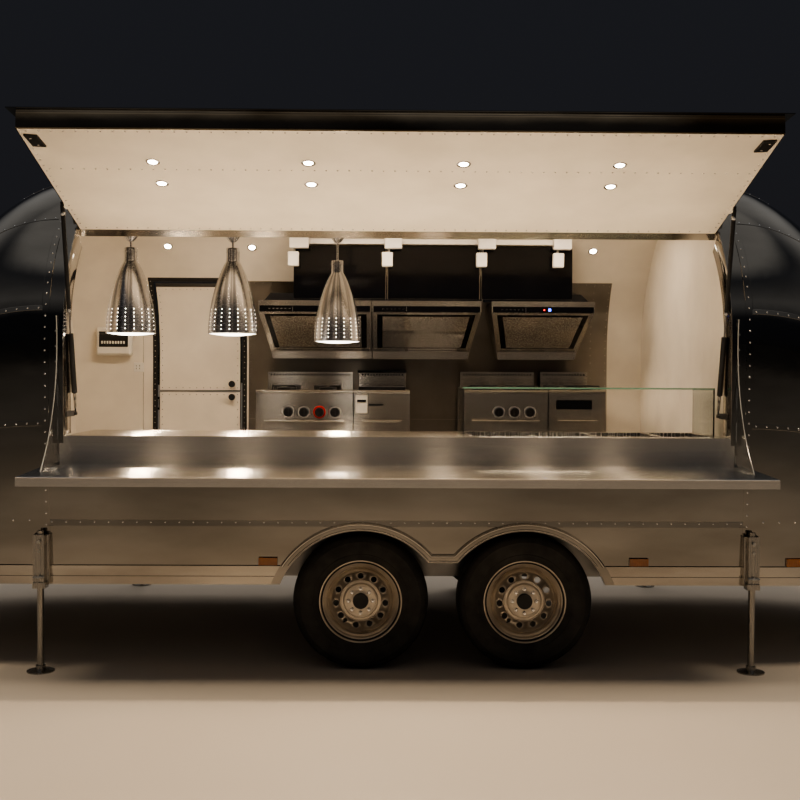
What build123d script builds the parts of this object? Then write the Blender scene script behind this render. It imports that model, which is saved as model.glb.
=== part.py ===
"""Tandem-axle catering trailer with a polished, riveted aluminium body.

The body is a straight centre section between two rounded end caps. A lens-shaped hatch along one
side swings up as an awning over a stainless serving shelf. Inside are a serving counter with heat
lamps on that side, and cookers and hoods on the other, beside a two-leaf entry door.

Lengths are in millimetres. While the pieces are made, X is 0 in the middle of the centre section and
runs towards the rear, Y is 0 on the centre plane and runs towards the door side, and Z is 0 on the
ground. At the end every piece moves so that the origin is on the ground under the middle of the whole.
"""
import math
import os
from functools import cache

from build123d import *

# Body shell
SECTION_LENGTH = 3730.0
SECTION_HALF = SECTION_LENGTH / 2
BODY_WIDTH = 2440.0
HALF_WIDTH = BODY_WIDTH / 2
CROWN_Z = 2785.0
BODY_BOTTOM_Z = 457.0
WALL_THICKNESS = 38.0
WALL_RADIUS = 21000.0
SHOULDER_RADIUS = 850.0
SHOULDER_ANGLE = 36.8
CAP_LENGTH = 1250.0
CAP_PLAN_POWER = 2.6
CAP_PROFILE_POWER = 2.0
CAP_STATIONS = (0.0, 0.35, 0.62, 0.82, 0.93, 0.985)
HEADER_DEPTH = 34.0
HEADER_WIDTH = 64.0

# Floor and underside
FLOOR_Z = 600.0
PAN_THICKNESS = 4.0
FLOOR_EDGE_GAP = 1.0

# Hatch, opening, counter and shelf, each a little longer than the one before
HATCH_LENGTH = SECTION_LENGTH - 260.0
OPENING_LENGTH = HATCH_LENGTH + 70.0
SHELF_LENGTH = HATCH_LENGTH + 240.0
HATCH_HALF = HATCH_LENGTH / 2
OPENING_HALF = OPENING_LENGTH / 2
SHELF_HALF = SHELF_LENGTH / 2
COUNTER_Z = 1248.0
COUNTER_THICKNESS = 40.0
SILL_Z = COUNTER_Z - COUNTER_THICKNESS
COUNTER_DEPTH = 640.0
COUNTER_OVERHANG = 60.0
COUNTER_BASE_PANEL = 18.0
PARTITION_XS = (-600.0, 330.0)
SHELF_Z = 1094.0
SHELF_DEPTH = 520.0
SHELF_FALL = 20.0
SHELF_SHEET = 3.0
SHELF_LIP = 45.0
SHELF_FOLD = 20.0
GUARD_THICKNESS = 8.0
GUARD_FOOT = 300.0
GUARD_TOP_Z = 1880.0
GUARD_TOP_DEPTH = 20.0
GUARD_BEND = (70.0, 330.0)
GUARD_GAP = 12.0

# Hatch
HINGE_ANGLE = 44.35
HINGE_OFFSET = 12.0
HINGE_PIN_RADIUS = 5.0
HINGE_KNUCKLE_RADIUS = 9.0
HINGE_PLAY = 0.05
HINGE_KNUCKLES = 13
HINGE_LEAF = 2.0
HINGE_LEAF_WIDTH = 40.0
HATCH_FLANGE = 50.0
HATCH_SKIN = 4.0
HATCH_GAP = 5.0
HATCH_EDGE_GAP = 6.0
HATCH_LIP = 95.0
HATCH_ROOT_DEPTH = 60.0
HATCH_PLATE = 3.0
HATCH_LINER = 6.0
HATCH_OPEN_ANGLE = 95.0
HATCH_START = 10.0
HATCH_PIN_PLATE = (5.0, 30.0, 20.0, 60.0)

# Gas struts
STRUT_OFFSET = 17.0
STRUT_TUBE_RADIUS = 11.0
STRUT_ROD_RADIUS = 5.0
STRUT_PIN_RADIUS = 4.0
STRUT_EYE_RADIUS = 10.0
STRUT_EYE_WIDTH = 14.0
STRUT_EYE_GAP = 2.0
STRUT_NECK_RADIUS = 6.0
STRUT_PLAY = 0.05
STRUT_TUBE_LENGTH = 560.0
STRUT_TOP_OUT = 342.0
STRUT_TOP_UP = 62.0
STRUT_FOOT_Y = -1040.0
STRUT_FOOT_Z = 1360.0
STRUT_HEAD = 20.0
STRUT_ENGAGED = 60.0
BRACKET_SIZE = 30.0
BRACKET_GRIP = 45.0

# Entry door
DOOR_X = 420.0 - SECTION_HALF
DOOR_WIDTH = 600.0
DOOR_SILL_Z = 622.0
DOOR_SPLIT_Z = 1450.0
DOOR_TOP_Z = 2235.0
DOOR_GAP = 18.0
DOOR_SPLIT_GAP = 6.0
DOOR_HINGE_OUT = 12.0
DOOR_HINGE_RADIUS = 8.0
DOOR_HINGE_HALF = 28.0
DOOR_HINGE_BRACKET = 18.0
DOOR_HINGE_SPREAD = 90.0
DOOR_UPPER_HINGE_SPAN = 330.0
DOOR_PIN_RADIUS = 4.0
DOOR_STRAP = 60.0
DOOR_KNOB_UP = 54.0
DOOR_LATCH_DOWN = 42.0
DOOR_HANDLE_IN = 60.0

# Running gear
AXLE_SPACING = 880.0
WHEEL_MID_X = 243.0
TYRE_RADIUS = 364.0
TYRE_WIDTH = 216.0
TYRE_CORNER = 55.0
TYRE_TUCK = 17.0
WHEEL_CENTRE_Y = HALF_WIDTH - TYRE_TUCK - TYRE_WIDTH / 2
RIM_RADIUS = 220.5
RIM_SEAT_RADIUS = 203.0
RIM_WELL_RADIUS = 178.0
RIM_WIDTH = 176.0
DISC_RADIUS = 170.0
DISC_SET_BACK = 34.0
RIM_SHEET = 5.0
HAND_HOLES = 11
HAND_HOLE_RADIUS = 16.0
HAND_HOLE_CIRCLE = 133.0
HAND_HOLE_PITCH = 31.8
HUB_BORE_RADIUS = 41.0
LUG_NUTS = 8
LUG_CIRCLE = 65.0
LUG_RADIUS = 9.5
SPINDLE_RADIUS = 30.0
WHEEL_PLAY = 0.05
ARCH_RADIUS = 465.0
ARCH_CENTRE_Z = 281.0
ARCH_VALLEY_Z = 575.0
ARCH_BAND = 45.0
ARCH_BAND_DEPTH = 10.0
WELL_TOP_Z = 835.0
WELL_SIDE_GAP = 57.0
WELL_INNER_Y = WHEEL_CENTRE_Y - TYRE_WIDTH / 2 - WELL_SIDE_GAP
WELL_SHEET = 3.0
WELL_FIT = 2.0
AXLE_TUBE = 80.0
AXLE_ARM_LENGTH = 150.0
AXLE_ARM_THICKNESS = 32.0
AXLE_ARM_GAP = 25.0
AXLE_FOOT_Y = 700.0
AXLE_FOOT = 120.0
AXLE_FOOT_HEIGHT = 8.0
HUB_DRUM_RADIUS = 80.0

# Rub rail and steadies
RAIL_HEIGHT = 100.0
RAIL_DEPTH = 12.0
RAIL_GROOVE = 14.0
LEG_X = SECTION_HALF + 21.0
LEG_RADIUS = 17.5
LEG_PLAY = 0.05
LEG_FOOT_RADIUS = 72.0
LEG_FOOT_HEIGHT = 14.0
SLEEVE_SIZE = 52.0
SLEEVE_BOTTOM_Z = 445.0
SLEEVE_TOP_Z = 727.0
SLEEVE_OUT = 42.0
SLEEVE_MOUNT = 84.0
SLEEVE_COLLAR = (8.0, 30.0)

# Drawbar
DRAWBAR_REACH = 1050.0
DRAWBAR_SPREAD = 560.0
DRAWBAR_DEPTH = 100.0
DRAWBAR_WIDTH = 60.0
DRAWBAR_UNDER = 620.0
COUPLER_BALL_RADIUS = 25.5
COUPLER_LENGTH = 330.0
JACK_BACK = 420.0
JACK_TUBE_RADIUS = 30.0
JACK_LEG_RADIUS = 24.0
JACK_TOP_Z = 900.0
JACK_TUBE_BOTTOM_Z = 275.0
JACK_LIFT = 200.0
JACK_FOOT_RADIUS = 85.0
JACK_COLLAR_TOP_Z = 50.0
JACK_CRANK = 150.0
JACK_CRANK_DROP = 90.0

# Kitchen
LAMP_SPOTS = ((-1510.0, -790.0, 1780.0), (-935.0, -790.0, 1780.0), (-360.0, -430.0, 1740.0))
LAMP_RADIUS = 138.0
LAMP_HEIGHT = 590.0
LAMP_SHEET = 6.0
COOKER_WALL_GAP = 77.0
COOKER_DEPTH = 625.0
COOKER_BACK_Y = HALF_WIDTH - WALL_THICKNESS - COOKER_WALL_GAP
COOKER_FRONT_Y = COOKER_BACK_Y - COOKER_DEPTH
COOKER_SHEET = 6.0
COOKER_FOOT = 60.0
COOKER_LEG_INSET = 40.0
COOKER_UPSTAND = 125.0
KNOB_DROP = 150.0
KNOB_PITCH = 106.0
KNOB_RADIUS = 30.0
KNOB_LENGTH = 30.0
# Columns: near end X, far end X, top Z
COOKER_TABLE = (
    (-950.0, -291.0, 1472.0),
    (-284.0, 97.0, 1474.0),
    (458.0, 1038.0, 1478.0),
    (1045.0, 1430.0, 1480.0),
)
COOKER_KNOBS = (4, 0, 3, 0)
# Columns: top X from and to, foot X from and to
HOOD_TABLE = (
    (-950.0, -170.0, -877.0, -170.0),
    (-164.0, 590.0, -164.0, 517.0),
    (662.0, 1377.0, 735.0, 1282.0),
)
HOOD_BOTTOM_Z = 1694.0
HOOD_LIP_Z = 1745.0
HOOD_BROW_Z = 2015.0
HOOD_TOP_Z = 2090.0
HOOD_FRONT_Y = 600.0
HOOD_LIP_Y = 870.0
HOOD_BACK_Y = 1105.0
HOOD_SHEET = 4.0
HOOD_RECESS = 20.0
FLUE_TABLE = ((-717.0, -74.0), (-56.0, 584.0), (603.0, 1239.0))
FLUE_FRONT_Y = 730.0
FLUE_TOP_Z = 2480.0
FLUE_PANEL = 6.0
SPLASH_X = (-1084.0, 1575.0)
SPLASH_Z = (1250.0, 2255.0)
# Columns: middle X, length along X
PAN_WELLS = ((560.0, 320.0), (900.0, 320.0), (1240.0, 320.0), (1560.0, 260.0))
PAN_FROM_WALL = 120.0
PAN_DEPTH = 150.0
PAN_WIDTH_Y = 400.0
PAN_SHEET = 2.0
PAN_RIM = 10.0
PAN_PLAY = 0.5
SNEEZE_START_X = 353.0
SNEEZE_END_GAP = 40.0
SNEEZE_FRONT_Y = -1050.0
SNEEZE_BACK_Y = -640.0
SNEEZE_TOP_Z = 1505.0
GLASS_THICKNESS = 8.0
REAR_BULKHEAD_X = SECTION_HALF - 35.0
FRONT_BULKHEAD_X = SECTION_HALF + 485.0
BULKHEAD_THICKNESS = 18.0
BULKHEAD_PLAY = 0.5

# Lamps, vents and bumper
# Columns: middle X, length along X
MARKER_TABLE = ((-690.0, 100.0), (1290.0, 100.0), (SECTION_HALF + 265.0, 90.0))
MARKER_HEIGHT = 40.0
MARKER_DEPTH = 16.0
MARKER_GAP = 4.0
TAIL_LAMP_Y = 760.0
TAIL_LAMP_ZS = (760.0, 900.0)
TAIL_LAMP_RADIUS = 52.0
TAIL_LAMP_DEPTH = 25.0
VENT_X = (-555.0, 212.0, 1065.0)
VENT_Y = 560.0
VENT_RADIUS = 150.0
VENT_HEIGHT = 60.0
VENT_LID = 50.0
BUMPER_LENGTH = 1900.0
BUMPER_DEPTH = 90.0
BUMPER_BACK = 60.0
BUMPER_ARM_Y = 420.0
BUMPER_ARM_LENGTH = 780.0

AXLE_XS = (WHEEL_MID_X - AXLE_SPACING / 2, WHEEL_MID_X + AXLE_SPACING / 2)
SHOULDER_RATIO = SHOULDER_RADIUS / HALF_WIDTH
FAR = 4000.0


def cosd(angle):
    return math.cos(math.radians(angle))


def sind(angle):
    return math.sin(math.radians(angle))


def block(x0, x1, y0, y1, z0, z1):
    """A box between two corners."""
    middle = Pos((x0 + x1) / 2, (y0 + y1) / 2, (z0 + z1) / 2)
    return middle * Box(abs(x1 - x0), abs(y1 - y0), abs(z1 - z0))


def bar_x(x0, x1, y, z, radius):
    """A round bar along X."""
    return Pos((x0 + x1) / 2, y, z) * Rot(0, 90, 0) * Cylinder(radius, x1 - x0)


def bar_y(x, y0, y1, z, radius):
    """A round bar along Y."""
    return Pos(x, (y0 + y1) / 2, z) * Rot(90, 0, 0) * Cylinder(radius, abs(y1 - y0))


def bar_z(x, y, z0, z1, radius):
    """A round bar along Z."""
    return Pos(x, y, (z0 + z1) / 2) * Cylinder(radius, z1 - z0)


def yz_prism(points, x0, x1):
    """A prism along X over a polygon of (y, z) points."""
    outline = Wire.make_polygon([(x0, y, z) for y, z in points], close=True)
    return extrude(Face(outline), amount=x1 - x0, dir=(1, 0, 0))


def xz_prism(points, y0, y1):
    """A prism along Y over a polygon of (x, z) points."""
    outline = Wire.make_polygon([(x, y0, z) for x, z in points], close=True)
    return extrude(Face(outline), amount=y1 - y0, dir=(0, 1, 0))


def joined(pieces):
    """One solid from pieces that touch or overlap."""
    whole = pieces[0]
    for piece in pieces[1:]:
        whole = whole + piece
    return whole


def both_sides(shape):
    """The shape and its mirror image across the centre plane."""
    return [shape, mirror(shape, about=Plane.XZ)]


class Profile:
    """A cross-section: wall, shoulder and crown arcs that run into each other."""

    def __init__(self, half_width=HALF_WIDTH, crown_z=CROWN_Z, inset=0.0):
        self.half_width = half_width
        self.inset = inset
        shoulder = half_width * SHOULDER_RATIO
        crown = (half_width - shoulder) / cosd(SHOULDER_ANGLE) + shoulder
        self.crown_centre_z = crown_z - crown
        self.shoulder_y = half_width - shoulder
        self.shoulder_z = crown_z - crown + (crown - shoulder) * sind(SHOULDER_ANGLE)
        self.shoulder = shoulder - inset
        self.crown = crown - inset
        self.crown_z = crown_z - inset

    def wall_y(self, z):
        """Half-width at a height up to the end of the shoulder."""
        if z <= self.shoulder_z:
            reach = math.sqrt((WALL_RADIUS - self.inset) ** 2 - (self.shoulder_z - z) ** 2)
            return self.half_width - WALL_RADIUS + reach
        return self.shoulder_y + math.sqrt(self.shoulder ** 2 - (z - self.shoulder_z) ** 2)

    def roof_z(self, y):
        """Height of the crown arc at a distance from the centre plane."""
        return self.crown_centre_z + math.sqrt(self.crown ** 2 - y ** 2)

    def face(self, x, bottom_z=BODY_BOTTOM_Z):
        """The closed outline at one X, as a face."""
        low = (self.wall_y(bottom_z), bottom_z)
        middle_z = (bottom_z + self.shoulder_z) / 2
        middle = (self.wall_y(middle_z), middle_z)
        start = (self.wall_y(self.shoulder_z), self.shoulder_z)
        half = SHOULDER_ANGLE / 2
        bend = (self.shoulder_y + self.shoulder * cosd(half), self.shoulder_z + self.shoulder * sind(half))
        end = (
            self.shoulder_y + self.shoulder * cosd(SHOULDER_ANGLE),
            self.shoulder_z + self.shoulder * sind(SHOULDER_ANGLE),
        )

        def at(point, side):
            return (x, side * point[0], point[1])

        edges = [
            Edge.make_line(at(low, -1), at(low, 1)),
            Edge.make_three_point_arc(at(low, 1), at(middle, 1), at(start, 1)),
            Edge.make_three_point_arc(at(start, 1), at(bend, 1), at(end, 1)),
            Edge.make_three_point_arc(at(end, 1), (x, 0, self.crown_z), at(end, -1)),
            Edge.make_three_point_arc(at(end, -1), at(bend, -1), at(start, -1)),
            Edge.make_three_point_arc(at(start, -1), at(middle, -1), at(low, -1)),
        ]
        return Face(Wire(edges))


OUTER = Profile()
INNER = Profile(inset=WALL_THICKNESS)


def section_prism(inset, x0, x1, bottom_z=BODY_BOTTOM_Z):
    """The straight body, solid, between two X places."""
    return extrude(Profile(inset=inset).face(x0, bottom_z), amount=x1 - x0, dir=(1, 0, 0))


def section_ring(outer_inset, inner_inset, x0, x1):
    """The straight body's shell between two insets, open below."""
    inside = section_prism(inner_inset, x0 - 1, x1 + 1, BODY_BOTTOM_Z - WALL_THICKNESS)
    return section_prism(outer_inset, x0, x1) - inside


@cache
def cap_prism(inset, bottom_z=BODY_BOTTOM_Z):
    """The rear end cap, solid: sections that shrink along two superellipses."""
    faces = []
    height = CROWN_Z - BODY_BOTTOM_Z
    for station in CAP_STATIONS:
        half_width = HALF_WIDTH * (1 - station ** CAP_PLAN_POWER) ** (1 / CAP_PLAN_POWER)
        rise = height * (1 - station ** CAP_PROFILE_POWER) ** (1 / CAP_PROFILE_POWER)
        profile = Profile(half_width, BODY_BOTTOM_Z + rise, inset)
        faces.append(profile.face(SECTION_HALF + (CAP_LENGTH - inset) * station, bottom_z))
    return loft(faces)


def hinge_frame(radial, along):
    """A point near the hatch hinge as (y, z).

    Radial runs out of the roof from its skin, and along runs down the serving side.
    """
    reach = OUTER.crown + radial
    y = -reach * cosd(HINGE_ANGLE) - along * sind(HINGE_ANGLE)
    z = OUTER.crown_centre_z + reach * sind(HINGE_ANGLE) - along * cosd(HINGE_ANGLE)
    return (y, z)


def roof_wedge(x0, x1, far_angle=HINGE_ANGLE, near_shift=0.0):
    """Everything above the two lines where roof and walls meet."""
    centre = OUTER.crown_centre_z
    near = hinge_frame(FAR, near_shift)
    base = hinge_frame(-OUTER.crown, near_shift)
    far = (FAR * cosd(far_angle), centre + FAR * sind(far_angle))
    return yz_prism([base, (0, centre), far, (0, centre + 2 * FAR), near], x0, x1)


HINGE_Y, HINGE_Z = hinge_frame(HINGE_OFFSET, 0.0)


def arch_region(grow, depth_from, depth_to):
    """Both wheel arches of one side as one solid, wider by grow."""
    top = ARCH_VALLEY_Z + grow
    pieces = [bar_y(x, depth_from, depth_to, ARCH_CENTRE_Z, ARCH_RADIUS + grow) for x in AXLE_XS]
    pieces.append(block(AXLE_XS[0], AXLE_XS[1], depth_from, depth_to, ARCH_CENTRE_Z, top))
    return joined(pieces)


def make_walls():
    """The serving wall with its opening, and the door wall with its doorway and two leaves."""
    ring = section_ring(0, WALL_THICKNESS, -SECTION_HALF, SECTION_HALF)
    ring = ring - roof_wedge(-FAR, FAR)
    serving = ring & block(-FAR, FAR, -FAR, 0, 0, FAR)
    serving = serving - block(-OPENING_HALF, OPENING_HALF, -FAR, 0, SILL_Z, FAR)
    serving = serving - arch_region(0, -FAR / 2, 0)
    far = ring & block(-FAR, FAR, 0, FAR, 0, FAR)
    half = DOOR_WIDTH / 2 + DOOR_GAP
    sill, lintel = DOOR_SILL_Z - DOOR_GAP, DOOR_TOP_Z + DOOR_GAP
    far = far - block(DOOR_X - half, DOOR_X + half, 0, FAR, sill, lintel)
    far = far - arch_region(0, 0, FAR / 2)
    return serving, far


def make_roof():
    """The crown panel, with the header rail that carries the hatch hinge."""
    ring = section_ring(0, WALL_THICKNESS, -SECTION_HALF, SECTION_HALF)
    crown = ring & roof_wedge(-SECTION_HALF, SECTION_HALF)
    depth = WALL_THICKNESS + HEADER_DEPTH
    corners = [
        hinge_frame(-WALL_THICKNESS + 6, -HEADER_WIDTH),
        hinge_frame(-WALL_THICKNESS + 6, 0),
        hinge_frame(-depth, 0),
        hinge_frame(-depth, -HEADER_WIDTH),
    ]
    return crown + yz_prism(corners, -OPENING_HALF, OPENING_HALF)


def cap_space():
    """The room inside the rear end cap, reaching below its foot."""
    return cap_prism(WALL_THICKNESS, BODY_BOTTOM_Z - WALL_THICKNESS)


def lined_room():
    """The room inside the splash panel, along the centre section."""
    return section_prism(WALL_THICKNESS + SHELF_SHEET, -SECTION_HALF, SECTION_HALF)


def make_caps():
    """Front and rear end caps, hollow, open towards the centre section and below."""
    shell = cap_prism(0) - cap_space()
    return mirror(shell, about=Plane.YZ), shell


def floor_plan(z0, z1):
    """A slab that fills the body between two heights, a little clear of the walls."""
    inset = WALL_THICKNESS + FLOOR_EDGE_GAP
    band = block(-FAR, FAR, -FAR, FAR, z0, z1)
    middle = section_prism(inset, -SECTION_HALF, SECTION_HALF) & band
    cap = cap_prism(inset) & band
    return joined([middle, cap, mirror(cap, about=Plane.YZ)])


def well_span(grow):
    """Where a wheel well starts and ends along X."""
    return AXLE_XS[0] - ARCH_RADIUS - grow, AXLE_XS[1] + ARCH_RADIUS + grow


def make_floor():
    """The floor deck and the belly pan under it, cut out for the wheel wells."""
    cuts = well_space(-1, 0) + well_space(1, 0)
    deck = floor_plan(BODY_BOTTOM_Z + PAN_THICKNESS, FLOOR_Z) - cuts
    pan = floor_plan(BODY_BOTTOM_Z, BODY_BOTTOM_Z + PAN_THICKNESS) - cuts
    return deck, pan


def well_space(side, grow):
    """The space that a wheel well takes inside the body, wider by grow."""
    x0, x1 = well_span(WELL_SHEET + grow)
    inner = side * (WELL_INNER_Y - WELL_SHEET - grow)
    return block(x0, x1, inner, side * FAR, 0, WELL_TOP_Z + grow)


def make_wells():
    """Wheel wells: folded boxes, open below and outwards."""
    x0, x1 = well_span(0)
    reach = INNER.wall_y(ARCH_CENTRE_Z + ARCH_RADIUS)
    y1 = -WELL_INNER_Y + WELL_SHEET
    shell = block(x0 - WELL_SHEET, x1 + WELL_SHEET, -FAR, y1, BODY_BOTTOM_Z, WELL_TOP_Z)
    shell = shell - block(x0, x1, -FAR, -WELL_INNER_Y, 0, WELL_TOP_Z - WELL_SHEET)
    shell = shell & section_prism(WALL_THICKNESS, x0 - FAR, x1 + FAR)
    shell = shell & block(-FAR, FAR, -reach - 1, FAR, 0, FAR)
    return both_sides(shell)


def make_rail():
    """The rub rail right round the foot of the body, with a groove along it."""
    z0 = BODY_BOTTOM_Z
    z1 = z0 + RAIL_HEIGHT
    groove_z = (z0 + z1) / 2
    band = block(-FAR, FAR, -FAR, FAR, z0, z1)
    groove = block(-FAR, FAR, -FAR, FAR, groove_z - RAIL_GROOVE / 2, groove_z + RAIL_GROOVE / 2)
    shallow = section_prism(-RAIL_DEPTH / 2, -SECTION_HALF, SECTION_HALF)
    straight = section_prism(-RAIL_DEPTH, -SECTION_HALF, SECTION_HALF) & band
    straight = straight - (groove - shallow) - section_prism(0, -FAR, FAR)
    straight = straight - arch_region(ARCH_BAND, -FAR / 2, FAR / 2)
    cap = (cap_prism(-RAIL_DEPTH) & band) - (groove - cap_prism(-RAIL_DEPTH / 2)) - cap_prism(0)
    return list(straight.solids()) + list(cap.solids()) + list(mirror(cap, about=Plane.YZ).solids())


def make_arch_trims():
    """The polished double-arch bands round the wheel openings."""
    y0 = -HALF_WIDTH - FAR
    region = arch_region(ARCH_BAND, y0, 0) - arch_region(0, y0 - 1, 1)
    region = region & block(-FAR, FAR, -FAR, 0, BODY_BOTTOM_Z - 20, FAR)
    x0, x1 = well_span(ARCH_BAND + 10)
    band = region & section_ring(-ARCH_BAND_DEPTH, 0, x0, x1)
    return both_sides(band)


def make_shelf():
    """The folded shelf: tray, front lip, and the tall back flange on the wall."""
    y_wall = -OUTER.wall_y(SHELF_Z)
    y_out = y_wall - SHELF_DEPTH
    z_out = SHELF_Z - SHELF_FALL
    sheet = SHELF_SHEET
    tray = yz_prism(
        [(y_wall, SHELF_Z), (y_out, z_out), (y_out, z_out - sheet), (y_wall, SHELF_Z - sheet)],
        -SHELF_HALF, SHELF_HALF,
    )
    z_low = z_out - SHELF_LIP
    lip = block(-SHELF_HALF, SHELF_HALF, y_out, y_out + sheet, z_low, z_out)
    fold = block(-SHELF_HALF, SHELF_HALF, y_out, y_out + SHELF_FOLD, z_low, z_low + sheet)
    pieces = [tray, lip, fold]
    for x in (-SHELF_HALF, SHELF_HALF - sheet):
        corners = [
            (y_wall, SHELF_Z),
            (y_out, z_out),
            (y_out, z_low),
            (y_wall, SHELF_Z - SHELF_LIP),
        ]
        pieces.append(yz_prism(corners, x, x + sheet))
    flange = section_ring(-sheet, 0, -OPENING_HALF - 20, OPENING_HALF + 20)
    flange = flange & block(-FAR, FAR, -FAR, 0, SHELF_Z - sheet, SILL_Z)
    pieces.append(flange)
    return joined(pieces) - section_prism(0, -FAR, FAR)


def make_guards():
    """Clear side guards that stand on the shelf and narrow upwards along the wall."""
    x0 = HATCH_HALF + HATCH_FLANGE + GUARD_GAP
    guards = []
    y_wall = -OUTER.wall_y(SHELF_Z)
    y_out = y_wall - GUARD_FOOT
    slope = SHELF_FALL / SHELF_DEPTH
    foot_z = SHELF_Z - GUARD_FOOT * slope
    top_y = -OUTER.wall_y(GUARD_TOP_Z) - GUARD_TOP_DEPTH
    bend_y, bend_z = y_wall - GUARD_BEND[0], SHELF_Z + GUARD_BEND[1]
    for side in (-1, 1):
        x = side * x0 if side > 0 else -x0 - GUARD_THICKNESS
        edges = [
            Edge.make_line((x, 0, SHELF_Z), (x, y_wall, SHELF_Z)),
            Edge.make_line((x, y_wall, SHELF_Z), (x, y_out, foot_z)),
            Edge.make_three_point_arc((x, y_out, foot_z), (x, bend_y, bend_z), (x, top_y, GUARD_TOP_Z)),
            Edge.make_line((x, top_y, GUARD_TOP_Z), (x, 0, GUARD_TOP_Z)),
            Edge.make_line((x, 0, GUARD_TOP_Z), (x, 0, SHELF_Z)),
        ]
        plate = extrude(Face(Wire(edges)), amount=GUARD_THICKNESS, dir=(1, 0, 0))
        plate = plate - section_prism(0, -FAR, FAR)
        guards.append(plate)
    return guards


def pan_middle_y():
    """Y of the middle of the food pans."""
    return -OUTER.wall_y(COUNTER_Z) + PAN_FROM_WALL + PAN_WIDTH_Y / 2


def pan_box(x, width, grow, z0, z1):
    """The space of one food pan, wider by grow."""
    y_mid = pan_middle_y()
    half_y = PAN_WIDTH_Y / 2 + grow
    half_x = width / 2 + grow
    return block(x - half_x, x + half_x, y_mid - half_y, y_mid + half_y, z0, z1)


def make_counter():
    """The serving counter's top with its wells, and the cabinet under it."""
    y_out = -OUTER.wall_y(COUNTER_Z) - SHELF_SHEET
    y_in = y_out + COUNTER_DEPTH
    top = block(-OPENING_HALF + 1, OPENING_HALF - 1, y_out, y_in, SILL_Z, COUNTER_Z)
    for x, width in PAN_WELLS:
        top = top - pan_box(x, width, PAN_PLAY, SILL_Z - 1, COUNTER_Z + 1)
    y_back = -INNER.wall_y(FLOOR_Z) + COUNTER_BASE_PANEL
    y_face = y_in - COUNTER_OVERHANG
    x_end = REAR_BULKHEAD_X - 1
    panel = COUNTER_BASE_PANEL
    pieces = [block(-x_end, x_end, y_face - panel, y_face, FLOOR_Z, SILL_Z)]
    for x in (-x_end, *PARTITION_XS, x_end - panel):
        pieces.append(block(x, x + panel, y_back, y_face, FLOOR_Z, SILL_Z))
    return top, joined(pieces) - well_space(-1, WELL_FIT)


def make_pans():
    """Food pans that hang in the wells by their rims."""
    pans = []
    play = -2.0
    for x, width in PAN_WELLS:
        body = pan_box(x, width, play, COUNTER_Z - PAN_DEPTH, COUNTER_Z)
        rim = pan_box(x, width, PAN_RIM, COUNTER_Z, COUNTER_Z + PAN_SHEET)
        floor_z = COUNTER_Z - PAN_DEPTH + PAN_SHEET
        hollow = pan_box(x, width, play - PAN_SHEET, floor_z, COUNTER_Z + 2 * PAN_SHEET)
        pans.append(body + rim - hollow)
    return pans


def make_sneeze_glass():
    """The glass ends and top shelf over the wells, clear of the closed hatch."""
    x0, x1 = SNEEZE_START_X, OPENING_HALF - SNEEZE_END_GAP
    y0, y1 = SNEEZE_FRONT_Y, SNEEZE_BACK_Y
    near = block(x0, x0 + GLASS_THICKNESS, y0, y1, COUNTER_Z, SNEEZE_TOP_Z)
    far = block(x1 - GLASS_THICKNESS, x1, y0, y1, COUNTER_Z, SNEEZE_TOP_Z)
    top = block(x0, x1, y0, y1, SNEEZE_TOP_Z, SNEEZE_TOP_Z + GLASS_THICKNESS)
    return joined([near, top, far])


def make_heat_lamps():
    """Bullet-shaped heat lamps: a hollow shade, a neck, a ceiling cup and a bulb."""
    lamps = []
    rim = LAMP_RADIUS
    inside = LAMP_RADIUS - LAMP_SHEET
    for x, y, z in LAMP_SPOTS:
        ceiling = INNER.roof_z(y) + 5 - z
        bulb = [(0, 80), (30, 80), (60, 110), (60, 170), (30, 240), (30, 330), (36, 330)]
        lining = [(66, 325), (110, 205), (inside, 146), (inside, 0)]
        skin = [(rim, 0), (rim, 150), (118, 210), (74, 330), (42, 400), (36, 440), (36, 480)]
        cup = [(50, 500), (50, LAMP_HEIGHT), (12, LAMP_HEIGHT), (12, ceiling), (0, ceiling)]
        outline = bulb + lining + skin + cup
        wire = Wire.make_polygon([(r, 0, h) for r, h in outline], close=True)
        lamp = Pos(x, y, z) * revolve(Face(wire), Axis.Z, 360)
        lamps.append(lamp & section_prism(WALL_THICKNESS, -SECTION_HALF, SECTION_HALF))
    return lamps


def hood_form(x0, x1, foot_x0, foot_x1, shrink):
    """A hood's outer form, or its inside when it is shrunk by the sheet."""
    side = yz_prism(
        [
            (HOOD_FRONT_Y + shrink, HOOD_TOP_Z - shrink), (HOOD_FRONT_Y + shrink, HOOD_BROW_Z),
            (HOOD_LIP_Y + shrink, HOOD_LIP_Z), (HOOD_LIP_Y + shrink, HOOD_BOTTOM_Z),
            (HOOD_BACK_Y - shrink, HOOD_BOTTOM_Z), (HOOD_BACK_Y - shrink, HOOD_TOP_Z - shrink),
        ],
        x0, x1,
    )
    front = xz_prism(
        [
            (x0 + shrink, HOOD_TOP_Z), (x0 + shrink, HOOD_BROW_Z), (foot_x0 + shrink, HOOD_BOTTOM_Z),
            (foot_x1 - shrink, HOOD_BOTTOM_Z), (x1 - shrink, HOOD_BROW_Z), (x1 - shrink, HOOD_TOP_Z),
        ],
        0, FAR,
    )
    return side & front


def make_hoods():
    """Range hoods that overhang at the brow, each a hollow box with a filter plate set in below."""
    hoods = []
    z0 = HOOD_BOTTOM_Z + HOOD_RECESS
    for row in HOOD_TABLE:
        inside = hood_form(*row, HOOD_SHEET)
        filters = inside & block(-FAR, FAR, 0, FAR, z0, z0 + HOOD_SHEET)
        hoods.append((hood_form(*row, 0) - inside + filters) & lined_room())
    return hoods


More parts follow.
